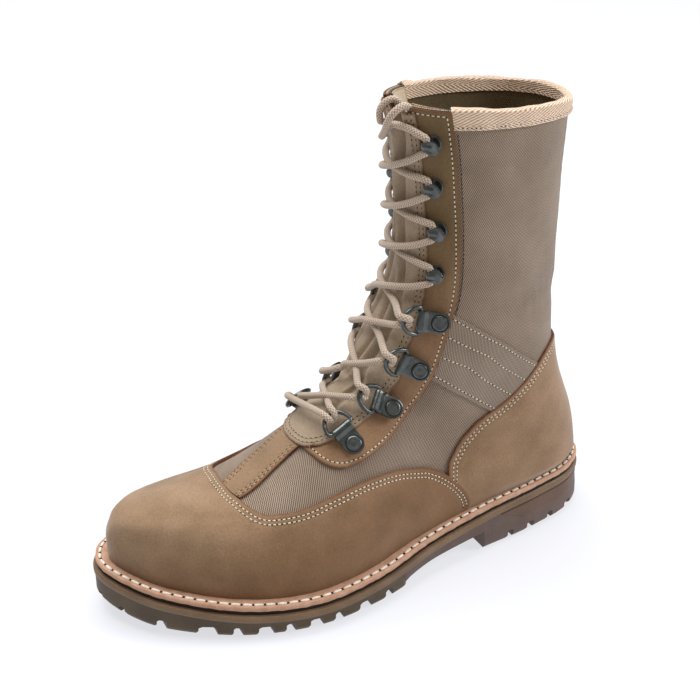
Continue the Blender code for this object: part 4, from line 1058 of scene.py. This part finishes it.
facings, beside_facing = {}, []
for side, hand in HANDS:
    tight = np.linspace(0, len(FACING_EDGE) - 1, 200)
    outer = [curve([(k, row[m]) for k, row in enumerate(FACING_EDGE)], tight) for m in (0, 1)]
    outer = np.stack([outer[0] if side > 0 else 2 - outer[0], outer[1]], 1)
    levels_in = np.concatenate([[STRIP_TOP, 6.92], np.linspace(7.02, TOP, 60)])
    gap = np.array([(at_side(lv, float(np.interp(lv, [STRIP_TOP, 7.0], [2.5, 0]))
                             + float(curve(SLOT, lv)) + 0.4, side), lv) for lv in levels_in])
    share = np.linspace(0, 1, 221)
    first, second = respace(outer, share), respace(gap, share)
    first[-1, 1] = second[-1, 1] = TOP
    across = np.linspace(0, 1, 30)[:, None]
    a, level = [first[None, :, k] * (1 - across) + second[None, :, k] * across for k in (0, 1)]
    facings[hand] = leather("facing_nubuck_" + hand, a, level, ("bottom", "top", "right"),
                            ["facing_" + hand], facing_nubuck, 0.1, FACING_SEAM)
    # a second row just outside the facing, through the canvas alone
    wide = np.linalg.norm(skin(*first.T)[0] - skin(*second.T)[0], axis=1)[:, None]
    beside = first - (second - first) * 1.7 / wide
    beside_facing.append(cover(*beside[(level[0] > 9) & (level[0] < 16)].T, FACE + 0.1))

# the flesh side of split leather, pale and fuzzy, lines each facing on the inside
backing = nubuck_finish("split_leather_backing", "DFC9B0", "D2BBA0", "A88764")
for side, hand in HANDS:
    levels = np.linspace(7.2, TOP - 0.05, 90)
    near_gap = np.array([at_side(lv, float(curve(SLOT, lv)) + 0.6, side) for lv in levels])
    far_back = 0.745 if side > 0 else 1.255
    a = near_gap[:, None] + (far_back - near_gap)[:, None] * np.linspace(0, 1, 20)[None]
    level = np.repeat(levels[:, None], 20, 1)
    points, normals = cover(a, level, FACE - CANVAS - 0.75)
    near = from_edges(points, ("left", "right", "top"))
    backed(laid("facing_backing_" + hand, points, backing, out=-normals, values={"edge": near}),
           0.7, "nubuck", offset=1, smooth=60)

# ---- tongue ----------------------------------------------------------------------------
# One bellows sheet of soft nubuck: its flat edges are sewn down on the facings, the loose
# middle folds into deep creases as the boot is laced up, and its top is turned and hemmed.

# half width on the form at each level
TONGUE = [(6.75, 22.5), (7, 24.2), (7.15, 24.2), (7.3, 23.6), (7.42, 22.8), (7.6, 21),
          (7.8, 19.8), (8.3, 20.3), (9.1, 22.2), (9.6, 22.5), (10.4, 21.6), (11.3, 20.3),
          (12.4, 18.5), (13.2, 17), (15, 16.5), (17, 17)]
# each fold: its place off the ridge by level, its depth by level, its width in mm
FOLDS = [([(7.2, 12), (7.5, 10), (7.9, 8), (8.4, 6.5), (9.2, 8), (9.8, 10), (10.7, 9),
           (11.25, 7), (12.06, 4.5), (13, 1.5), (13.8, 2.5), (14.75, 3.5), (15.5, 6), (17, 8)],
          [(7.1, 0), (7.8, 3.2), (9, 4.2), (11, 4.6), (13, 3.4), (15, 5), (17, 6)], 2.1),
         ([(7.4, -13), (7.9, -12), (8.4, -6), (9, -1), (9.9, 3), (10.6, 2.6), (12, 1), (17, -8)],
          [(7.4, 0), (8, 2.4), (10, 3.0), (11, 2.6), (12.2, 0), (17, 0)], 1.7),
         ([(7, -12), (9, -11), (11, -7), (13, -6), (15, -7), (17, -6)],
          [(8.4, 0), (9.4, 1.6), (12, 2.8), (17, 3)], 1.9),
         ([(7, 14), (9, 13.6), (11, 12), (17, 10)], [(7.6, 0), (8.4, 1.1), (13, 1.0), (17, 1)], 2.4),
         ([(7, 9), (9, 3), (10, 6.8), (11, 5), (13, -2), (15, -0.6), (17, 2)],
          [(7.4, 0), (9, -0.8), (17, -0.9)], 2.4)]
# garment-soft nubuck, greyer and paler than the vamp's, without the painted shade of the vamp and
# facings
tongue_nubuck = nubuck_finish("tongue_nubuck", "A8957F", "9A8772", "6F4F36")
levels = np.concatenate([np.linspace(6.75, 7.0, 7)[:-1], np.linspace(7.0, TOP - 0.2, 140)])
share = np.linspace(1, -1, 85)[None]
x = curve(TONGUE, levels)[:, None] * share
level = levels[:, None] + 0.22 * share**4 * np.clip((7.3 - levels[:, None]) / 0.55, 0, 1)
a = np.array([np.where(row >= 0, at_side(lv, row), at_side(lv, row, -1))
              for lv, row in zip(levels, x)])
gap = curve(SLOT, np.maximum(level, 7))
inside = np.clip((gap - 1 - np.abs(x)) / 4.5, 0, 1) * np.clip((level - 7.1) / 0.6, 0, 1)
inside = inside * inside * (3 - 2 * inside)
rise = 1.5 + 0.5 * inside - 0.5 * np.clip((np.abs(x) - gap) / 2, 0, 1) * (level > 7.1)
for place, depth, wide in FOLDS:
    rise -= inside * curve(depth, level) * np.exp(-((x - curve(place, level)) / wide)**2)
# the hem at the top is a little thicker
rise += 0.5 * np.clip((level - TOP + 0.62) / 0.05, 0, 1)
near = from_edges(skin(a, level)[0], ("bottom", "left", "right", "top"))
rise -= 0.4 * np.exp(-(near / 0.7)**2) + 0.2 * np.exp(-((near - 2.2) / 0.8)**2)
points, normals = skin(a, level, rise)
for _ in range(2):
    points[:, 1:-1] = (points[:, :-2] + 2 * points[:, 1:-1] + points[:, 2:]) / 4
    points[1:-1] = (points[:-2] + 2 * points[1:-1] + points[2:]) / 4
tongue = points, normals
backed(laid("tongue_nubuck", points, tongue_nubuck, cut_edge, out=normals,
            values={"edge": near}), 1.1, "tongue_nubuck", "tongue", rim=1, smooth=70)

# ---- collar tape -----------------------------------------------------------------------
# Cotton herringbone tape 25 mm wide, folded over the raw top of the shaft from one facing
# round the back to the other and sewn through along its lower edge.
def herringbone(name, rib, groove, run, slant, fold, depth):
    """Ribs that slant one way up to each fold line of the tape and back after it; run is
    their spacing, and fold gives the first fold line and the distance between them, in mm."""
    material, shader = new_material(name, 0.9, Sheen_Weight=0.2, Sheen_Roughness=0.5)
    cloth = add(material, "SeparateXYZ", {0: add(material, "TexCoord").outputs["UV"]})
    place = add(material, "Math", {0: cloth.outputs[1], 1: -fold[0]}, operation="ADD")
    arm = add(material, "Math", {0: place.outputs[0], 1: fold[1]}, operation="PINGPONG")
    lean = add(material, "Math", {0: arm.outputs[0], 1: -slant}, operation="MULTIPLY")
    along = add(material, "Math", {0: cloth.outputs[0], 1: lean.outputs[0]}, operation="ADD")
    spot = add(material, "CombineXYZ", {0: along.outputs[0]})
    ribs = add(material, "TexWave", {"Vector": spot.outputs[0], "Scale": 0.314 / run})
    cross = add(material, "CombineXYZ", {0: arm.outputs[0]})
    beads = add(material, "TexWave", {"Vector": cross.outputs[0], "Scale": 0.314 / 0.9})
    weave = add(material, "Mix", {0: 0.22, 2: ribs.outputs[1], 3: beads.outputs[1]})
    return woven(material, shader, weave, 0.12, 0.55, linear(groove), linear(rib), 0.7, depth)


# unbleached cotton: cream ribs with tan shadow between them, drawn at about twice the real
# 1.5 mm so that they show
tape_weave = herringbone("herringbone_cotton_tape", "E6CFB5", "A67E66", 3.3, 2.4, (2.4, 14.0),
                         0.0005)
TAPE_THICK = 1.0
front, back = FACE + GAP + TAPE_THICK, FACE - CANVAS - GAP - TAPE_THICK
turn = np.linspace(0, pi, 11)[1:-1]
profile = ([(lv, front, 0) for lv in np.linspace(16.2, TOP, 12)]
           + [(TOP, (front + back) / 2 + (front - back) / 2 * cos(w), 1.3 * sin(w))
              for w in turn] + [(lv, back, 0) for lv in np.linspace(TOP, 16.35, 12)])
level, out, up = [column[:, None] for column in np.array(profile).T]
a = np.linspace(0.746, -0.746, 281)[None] % 2
points, normals = skin(*np.broadcast_arrays(a, level, out + 0 * a))
run = run_of(points)
edge = run[..., 1]
ripple = (0.22 * np.sin(run[..., 0] / 5.5) + 0.14 * np.sin(run[..., 0] / 2.3 + 1)
          + 0.3 * np.exp(-(edge / 1.6)**2) - 0.25 * np.exp(-((edge - 2.4) / 0.5)**2)
          + 0.9 * np.exp(-((run[..., 0] - 205) / 2.5)**2))
facing_out = np.where(out < (front + back) / 2, -1.0, 1.0)[..., None] * normals
facing_out = np.where(up[..., None] > 0.3, np.array([0, 0, 1.0]), facing_out)
points = points + facing_out * ripple[..., None]
points[..., 2] += up + (0.35 * np.sin(run[..., 0] / 8)) * (level > 16.6)
backed(laid("collar_tape", points, tape_weave, out=facing_out, uv=run), 0.9, "tape",
       "collar_tape", smooth=60)
tape_line = inset_line((points[:12], normals[:12]), "bottom", 1.3)

# ---- stitching of the upper ------------------------------------------------------------
# Bonded polyester thread, about 0.7 mm, sewn at ten stitches to 27 mm: double rows on vamp,
# counter, strip, tongue and back stay, four on each ankle band, and single rows on the
# facings, beside them and on the tape.

# bonded thread has a smooth faint gloss; the tan and brown are matched to the pieces they hold
pale_thread, tan_thread, brown_thread = [
    mottled(*thread, 0.003, 0.0005, 0.0001)
    for thread in (("bonded_beige_thread", 0.6, "DDD1BE", "C6B8A2"),
                   ("tan_thread", 0.7, "B39A7C", "9C8467"),
                   ("dark_brown_thread", 0.7, "6E5F4E", "564A3C"))]
PITCH, LONG_PITCH, TAPE_PITCH, DOUBLE_ROW = 2.65, 2.9, 2.3, (3, 5.3)
rows = [inset_line(vamp, "top", step) for step in DOUBLE_ROW]
rows += [inset_line(counter, "left top right", step, 0.07, 0.93) for step in DOUBLE_ROW]
rows += [inset_line(facings[hand], "bottom right", *FACING_SEAM, 0, 0.99) for hand in facings]
sewn("upper_stitches", rows, pale_thread, PITCH, 0.75)
sewn("ankle_band_stitches", band_rows, pale_thread, PITCH, 0.7)
rows = [(stay[0][:, k], stay[1][:, k]) for k in (2, 12)]
sewn("back_stay_stitches", rows, pale_thread, PITCH, 0.7)
rows = [inset_line(piece, side, step)
        for piece, seams in ((strip, STRIP_SEAMS), (tongue, TONGUE_SEAMS))
        for side in ("left", "right") for step in seams]
rows += [inset_line(tongue, "bottom", step, 0.05, 0.95) for step in TONGUE_SEAMS]
rows += [inset_line(tongue, "top", 4, 0.05, 0.95)]
sewn("tongue_and_strip_stitches", rows, tan_thread, LONG_PITCH, 0.7)
sewn("beside_facing_stitches", beside_facing, brown_thread, PITCH, 0.6)
sewn("tape_stitches", [tape_line], pale_thread, TAPE_PITCH, 0.6)

# ---- D rings and speed hooks -----------------------------------------------------------
# Steel plated in gunmetal: four D rings a side, each of 2.4 mm wire in a folded strap that
# is riveted to the facing, and above them four pressed hooks on round bases.

# each clip: level and way round of its rivet, then of a point toward its ring, how far it is
# let in, the ring's tilt on the outer and the inner side, and the inner one's shift round
CLIPS = [(6.78, 0.800, 7.16, 0.856, 0.2, -0.1, -0.1, 0.01),
         (7.30, 0.721, 7.68, 0.807, 0.15, 0.2, 0.1, 0.03),
         (8.72, 0.746, 9.15, 0.829, 0.0, 0.6, -0.05, 0.06),
         (10.25, 0.742, 10.43, 0.821, 0.0, 0.6, -0.15, 0.06)]
# each hook's rivet seen from the side: distance from the heel and height
HOOKS = [(111.8, 178.7), (110.3, 203.2), (112.3, 227.7), (114.3, 251.7)]
# from the rivet to the ring's bar and how high it lies, the ring's reach beyond the bar and
# half its width, half the strap's width, the wire and the hook sheet's scale
BAR, BAR_UP, RING_REACH, RING_HALF, STRAP, WIRE, HOOK = 10.5, 2.9, 10.5, 7.3, 5.75, 2.4, 0.78


def spot_on(a, level, a2, level2):
    """A spot: point on the facing, the way to a second point, the way up, and outwards."""
    p, n = skin(a, level)
    p2, n2 = skin(a2, level2)
    u = (p2 - p) / np.linalg.norm(p2 - p)
    n = n + n2 - u * ((n + n2) @ u)
    n /= np.linalg.norm(n)
    v = np.cross(n, u)
    return p, u, v * np.sign(v[2]), n


def seat(spot, a, level, u0, u1, half, drop):
    """The spot lifted until a footprint on it clears the facing and the tongue's edge, and
    then let in by drop."""
    p, u, v, n = spot
    ll, aa = np.meshgrid(level + np.linspace(-1.3, 1.3, 27), a + np.linspace(-0.2, 0.2, 41))
    ridge = skin(1.0, ll)[0][..., 0]
    face = skin(aa, ll)[0]
    covered = (np.abs(face[..., 0] - ridge) < curve(TONGUE, ll) + 0.8) & (ll > 6.7)
    face = skin(aa, ll, 0.3 + covered * 1.5)[0] - p
    inside = (face @ u > u0) & (face @ u < u1) & (np.abs(face @ v) < half)
    return p + n * ((face @ n)[inside].max() - drop), u, v, n


def at(spot, u, v, n):
    """Millimetres along a spot's three ways to millimetres on the last."""
    p, du, dv, dn = spot
    u, v, n = [np.asarray(k, float)[..., None] for k in (u, v, n)]
    return p + du * u + dv * v + dn * n


def disc(name, spot, outline, material):
    """Round head turned from an outline of radius and height."""
    turn = np.linspace(0, 2 * pi, 41)[None]
    r, n = np.array(outline, float).T[..., None]
    points = at(spot, r * np.cos(turn), r * np.sin(turn), n + 0 * turn)
    fixed(closed(laid(name, points, material)), "gunmetal", smooth=50)


def tube(name, path, radius, *materials, across=None, loop=False, sides=14):
    """Round bar along a path; across is a direction its sections keep to."""
    path = np.array(path, float)
    if loop:
        path = np.concatenate([path[-1:], path, path[:2]])
    ahead = unit(np.gradient(path, axis=0))
    side = np.zeros_like(path)
    last = np.array(across if across is not None else (0.3, 0.2, 1), float)
    for k, d in enumerate(ahead):
        last = last - d * (last @ d)
        last /= np.linalg.norm(last)
        side[k] = last
    up = np.cross(ahead, side)
    run = lengths(path)
    if loop:
        path, side, up, run = path[1:-1], side[1:-1], up[1:-1], run[1:-1]
    turn = np.linspace(0, 2 * pi, sides + 1)
    radius = np.broadcast_to(radius, (len(path),))[:, None, None]
    points = path[:, None] + radius * (side[:, None] * np.cos(turn)[None, :, None]
                                       + up[:, None] * np.sin(turn)[None, :, None])
    uv = np.stack(np.broadcast_arrays(turn[None] / (2 * pi), run[:, None]), -1)
    return closed(laid(name, points, *materials, uv=uv), caps=not loop)


def rounded(points, times, loop=False):
    """Rounds the corners of a line of points."""
    for _ in range(times):
        ends = points[:1], points[-1:]
        after = np.roll(points, -1, 0) if loop else points[1:]
        first = points if loop else points[:-1]
        points = np.stack([first * 0.75 + after * 0.25, first * 0.25 + after * 0.75],
                          1).reshape(-1, points.shape[1])
        if not loop:
            points = np.concatenate([ends[0], points, ends[1]])
    return points


# black nickel over pressed steel: dark and glossy with a cold grey reflection; a near-black
# disc under each rivet paints the shadow in the groove round it
gunmetal = mottled("gunmetal_plating", 0.27, "606463", "4C504E", 0.004, 0.0006, 0.00006,
                   Metallic=0.85)
groove = new_material("groove_shadow", 0.8, Base_Color=linear("1B1D21"), Metallic=0.3)[0]
across_strap, across_hook = np.linspace(-1, 1, 9)[None], np.linspace(-1, 1, 17)[None]
# outlines of radius and height
RIVET = [(4.2, 2.3), (4.25, 2.65), (4.0, 2.95), (3.3, 3.1), (2.9, 3.02), (1.5, 3.1), (0.01, 3.12)]
# painted shadow: a flat near-black disc under each rivet's rim
GROOVE_SHADOW = [(4.9, 2.2), (4.9, 2.42), (0.01, 2.42)]
HOOK_BASE = [(0.01, 0.0), (4.7, 0.0), (4.7, 0.35), (4.4, 0.6), (0.01, 0.62)]
# the hook is one pressed sheet, along its middle: way along, height, half width. Foot, neck,
# curl and the round head turned back over the foot
HOOK_TRACK = [(-5.2, 0.8, 1.2), (-4.6, 0.8, 3.4), (-2.6, 0.8, 5.1), (0, 0.8, 5.4), (2.4, 0.9, 4.4),
              (4.4, 1.2, 3.2), (5.6, 2.2, 2.8), (5.9, 3.5, 2.7), (5.6, 4.7, 2.7),
              (4.8, 5.6, 2.7), (3.8, 6.0, 2.8), (2.4, 6.1, 3.2), (1.0, 6.15, 4.2),
              (-0.4, 6.2, 5.0), (-2.0, 6.25, 5.4), (-3.7, 6.3, 5.0), (-5.1, 6.35, 3.9),
              (-6.0, 6.4, 2.4), (-6.4, 6.45, 0.7)]
stations = {1: [], -1: []}         # spot, way along it and height where the lace bears
for side, hand in HANDS:
    for number, (level, a, level2, a2, drop, *tilts, back) in enumerate(CLIPS, 1):
        mark = "%s_%d" % (hand, number)
        if side < 0:
            a, a2, level, level2 = 2 - a + back, 2 - a2 + back, level - 0.3, level2 - 0.3
        spot = seat(spot_on(a, level, a2, level2), a, level, -6, BAR + 3, STRAP + 0.5, drop)
        # the strap: under the bar, round it and back down to its rounded tip
        turn = np.linspace(-pi / 2, pi * 0.56, 15)
        tip = -STRAP * np.cos(np.linspace(0.12, pi / 2, 8))
        line = np.array([(u, 0.95) for u in tip] + [(4, 0.95), (BAR - 2.5, 1.0)]
                        + [(BAR + 1.75 * cos(w), BAR_UP + 1.75 * sin(w)) for w in turn]
                        + [(BAR - 1.9, 4.1), (BAR - 3.2, 2.6), (BAR - 4.0, 1.98), (4, 1.9)]
                        + [(u, 1.9) for u in tip[::-1]])
        half = np.sqrt(np.clip(STRAP**2 - np.minimum(line[:, 0], 0)**2, 0.4, None))
        points = at(spot, line[:, :1] + 0 * across_strap, half[:, None] * across_strap,
                    line[:, 1:] + 0 * across_strap)
        backed(laid("clip_" + mark, points, gunmetal), 0.9, "gunmetal", "clip_" + mark, offset=0,
               rounding=0.25, smooth=35)
        disc("rivet_groove_shadow_" + mark, spot, GROOVE_SHADOW, groove)
        disc("rivet_" + mark, spot, RIVET, gunmetal)
        tilt = tilts[0] if side > 0 else tilts[1]
        du, dn = cos(tilt), sin(tilt)
        path = [(0, -RING_HALF - 0.6), (0, 0), (0, RING_HALF + 0.6)]
        path += [(RING_REACH * 1.05 * sin(w), RING_HALF * 1.1 * cos(w))
                 for w in np.linspace(pi * 0.14, pi * 0.86, 8)]
        path = rounded(np.array(path), 3, loop=True)
        wire = at(spot, BAR + path[:, 0] * du, path[:, 1], BAR_UP + path[:, 0] * dn)
        ring = tube("ring_" + mark, wire, WIRE / 2, gunmetal, loop=True, sides=12,
                    across=-spot[1] * dn + spot[3] * du)
        fixed(ring, "gunmetal", "ring_" + mark, smooth=60)
        stations[side].append((spot, BAR + RING_REACH * du, BAR_UP + RING_REACH * dn))
    for number, (t, z) in enumerate(HOOKS, 1):
        mark = "%s_%d" % (hand, number)
        if side < 0:
            t, z = t - 6.0, z - 8.0
        a, level = nearest(t, z, side)
        # the lowest outer hook is let in further, where the facing falls away
        spot = seat(spot_on(a, level, a + 0.05 * side, level), a, level, -4.6, 5.2, 4.8,
                    2.0 if side > 0 and number == 1 else 0.2)
        track, across = rounded(np.array(HOOK_TRACK), 2), across_hook
        crown = 0.5 * (1 - across**2) * np.clip((track[:, 1:2] - 5) / 1.0, 0, 1)
        # the neck runs on as a raised rib to the middle of the head
        crown += (0.55 * np.exp(-(track[:, 2:] * across / 2.0)**4)
                  * np.clip((track[:, 1:2] - 4.5) / 1.0, 0, 1)
                  * np.clip((track[:, :1] + 3.0) / 1.5, 0, 1))
        points = at(spot, HOOK * (track[:, :1] + 0 * across), HOOK * track[:, 2:] * across,
                    track[:, 1:2] + crown)
        backed(laid("hook_" + mark, points, gunmetal), 1.0, "gunmetal", "hook_" + mark, offset=0,
               rounding=0.25, smooth=35)
        disc("hook_base_" + mark, spot, HOOK_BASE, gunmetal)
        stations[side].append((spot, 2.2, 3.5))

# ---- lace ------------------------------------------------------------------------------
# One braided cord of cotton over a filled core, 3.8 mm thick: a bar through the lowest
# rings, then both halves cross from ring to ring and hook to hook, each far strand over.
LACE = 3.8


def braid(name, base, shade, pitch):
    """Two sets of strands wound round the cord, crossing like a plait."""
    material, shader = new_material(name, 0.9, Sheen_Weight=0.25, Sheen_Roughness=0.5)
    cloth = add(material, "SeparateXYZ", {0: add(material, "TexCoord").outputs["UV"]})
    height = None
    for way in (1, -1):
        # six strands each way round the cord, one turn in six pitches
        turn = add(material, "Math", {0: cloth.outputs[0], 1: way * 6.0}, operation="MULTIPLY")
        step = add(material, "Math", {0: cloth.outputs[1], 1: 1 / pitch}, operation="MULTIPLY")
        total = add(material, "Math", {0: turn.outputs[0], 1: step.outputs[0]},
                    operation="ADD")
        spot = add(material, "CombineXYZ", {0: total.outputs[0]})
        wave = add(material, "TexWave", {"Vector": spot.outputs[0], "Scale": 0.314})
        height = wave if height is None else add(
            material, "Mix", {0: 0.5, 2: height.outputs[1], 3: wave.outputs[1]})
    return woven(material, shader, height, 0.2, 0.75, linear(shade), linear(base), 0.6, 0.0004)


# matt cotton, plaited of twelve strands that cross every 1.5 mm, each edged with shadow
lace_braid = braid("braided_sand_lace", "CBBAA9", "8F7861", 1.5)


def stand_off(p, room):
    """The point moved off the form until it stands room above it."""
    gap = np.linalg.norm(SKIN - p, axis=2)
    i, j = np.unravel_index(gap.argmin(), gap.shape)
    high = (p - SKIN[i, j]) @ NORMAL[i, j]
    return p + NORMAL[i, j] * max(0, room - high)


def bearings(side, k, over, *rows):
    """Points near the arc of a ring or the neck of a hook: way up along the facing, beyond
    the arc, and out from it, on the side that over gives."""
    spot, u, n = stations[side][k]
    return [at(spot, u + out, v, n + up * over) for v, out, up in rows]


RINGS = 4                           # rings below, hooks above


def leaving(side, k):
    """Points of a strand from inside a ring or hook outwards, up the boot."""
    if k >= RINGS:
        return bearings(side, k, 1, (0, 0.6, 0), (4, -0.2, 0), (5.2, 2.6, 0.4))
    return bearings(side, k, -1 if (side, k) == (-1, 0) else 1, (0.8, -3.2, -1), (1.8, -2.9, 1),
                    (2.4, -1.6, 2.8), (2.6, 0.4, 3.2), (3, 3.2, 2))


def arriving(side, k):
    """Points of a strand that comes from below to a ring or hook, from outside inwards."""
    if k >= RINGS:
        return bearings(side, k, 1, (-5.2, 2.6, 0.2), (-4, -0.2, 0), (0, 0.6, 0))
    return bearings(side, k, 1 if k == 0 else -1, (-3, 3.2, 2.2), (-2.6, 0.4, 3.2),
                    (-2.2, -1.6, 2.8), (-1.6, -2.9, 1), (-0.8, -3.2, -1))


def crossing(start, end, heights):
    """A strand between two sets of end points, held at heights over the tongue."""
    p, q = start[-1], end[0]
    middle = [stand_off(p + (q - p) * share, high)
              for share, high in zip((0.2, 0.38, 0.5, 0.62, 0.8), heights)]
    line = rounded(np.array(start + middle + end), 3)
    return np.array([stand_off(point, 3.3) for point in line])


def corded(name, line):
    """A round length of the lace along a line."""
    line = respace(line, np.linspace(0, 1, int(lengths(line)[-1] / 0.8)))
    return tube(name, line, LACE / 2, lace_braid), line


# heights of the bar and of the under and the over strand from one side to the other
BAR_HEIGHTS, UNDER, OVER = (6.5, 7.4, 7.7, 7.4, 6.5), (4.4, 4, 4, 4, 4.4), (5.4, 7.3, 7.7, 7.3, 5.4)
strands = [("lace_bar", crossing(arriving(-1, 0)[::-1], arriving(1, 0), BAR_HEIGHTS))]
for k in range(7):
    for side, heights in ((1, UNDER), (-1, OVER)):
        strands.append(("lace_cross_%d" % (k + 1),
                        crossing(leaving(side, k), arriving(-side, k + 1), heights)))
for number, (node, line) in enumerate(strands):
    # a crossing's two strands stand for one solid, named on the second
    fixed(corded("lace_strand_%02d" % number, line)[0], "lace_cord",
          *([node] if number % 2 == 0 else []), smooth=60)

# ---- the lace's two ends ---------------------------------------------------------------
# Above the top hooks the near half runs 3 cm to a half knot and 4 cm more over the tongue
# into the boot. The far half, 6.5 cm long, makes a small loop there and goes in too.
def route(*points):
    """Route of a cord: its points on the last, rounded."""
    return rounded(np.array(points), 3)


def free_end(name, points, nodes):
    """A free length of the lace, built along its points from its exit at the lace's diameter."""
    piece, line = corded(name, points)
    fixed(piece, "lace_cord", *nodes, smooth=60)


near_top = route(*leaving(1, 7), (16.3, 125.3, 259.6), (11.5, 127.7, 260.1), (6, 129.2, 260),
                 (2.5, 129.9, 257.2), (0.4, 130.3, 254.4))
turn_back = route((2.5, 129.9, 257.2), (0.4, 130.3, 254.4), (-0.8, 131.4, 252.2),
                  (0.4, 132.9, 252), (3.2, 133.3, 254.6))
knot = tube("lace_half_knot", respace(turn_back, np.linspace(0, 1, 18)), LACE / 2, lace_braid)
fixed(knot, "lace_cord", "lace_knot", smooth=60)
draped = route((0.6, 132.9, 252.2), (3.2, 133.3, 254.6), (6.5, 133.8, 258), (9.7, 134.3, 262.8),
               (12.3, 133.3, 267.1), (13.3, 130.3, 270), (13, 126, 271.3), (12, 122, 268),
               (11.5, 120, 262), (11.5, 120, 257))
far_top = route(*leaving(-1, 7), (-20, 120.5, 252.5), (-13, 126, 255.5), (-7.5, 129.3, 257.6),
                (-4.2, 131.2, 260.2), (-3.4, 132, 263.4), (-3, 131.4, 266.6), (-2, 129, 269.6),
                (-1, 125.2, 270.9), (0, 121.8, 268.2), (0.3, 120, 263), (0.3, 120, 258))
free_end("lace_near_top", near_top, ["lace_top_left"])
free_end("lace_draped_end", draped, ["lace_end"])
free_end("lace_far_top", far_top, ["lace_top_right", "lace_loop"])
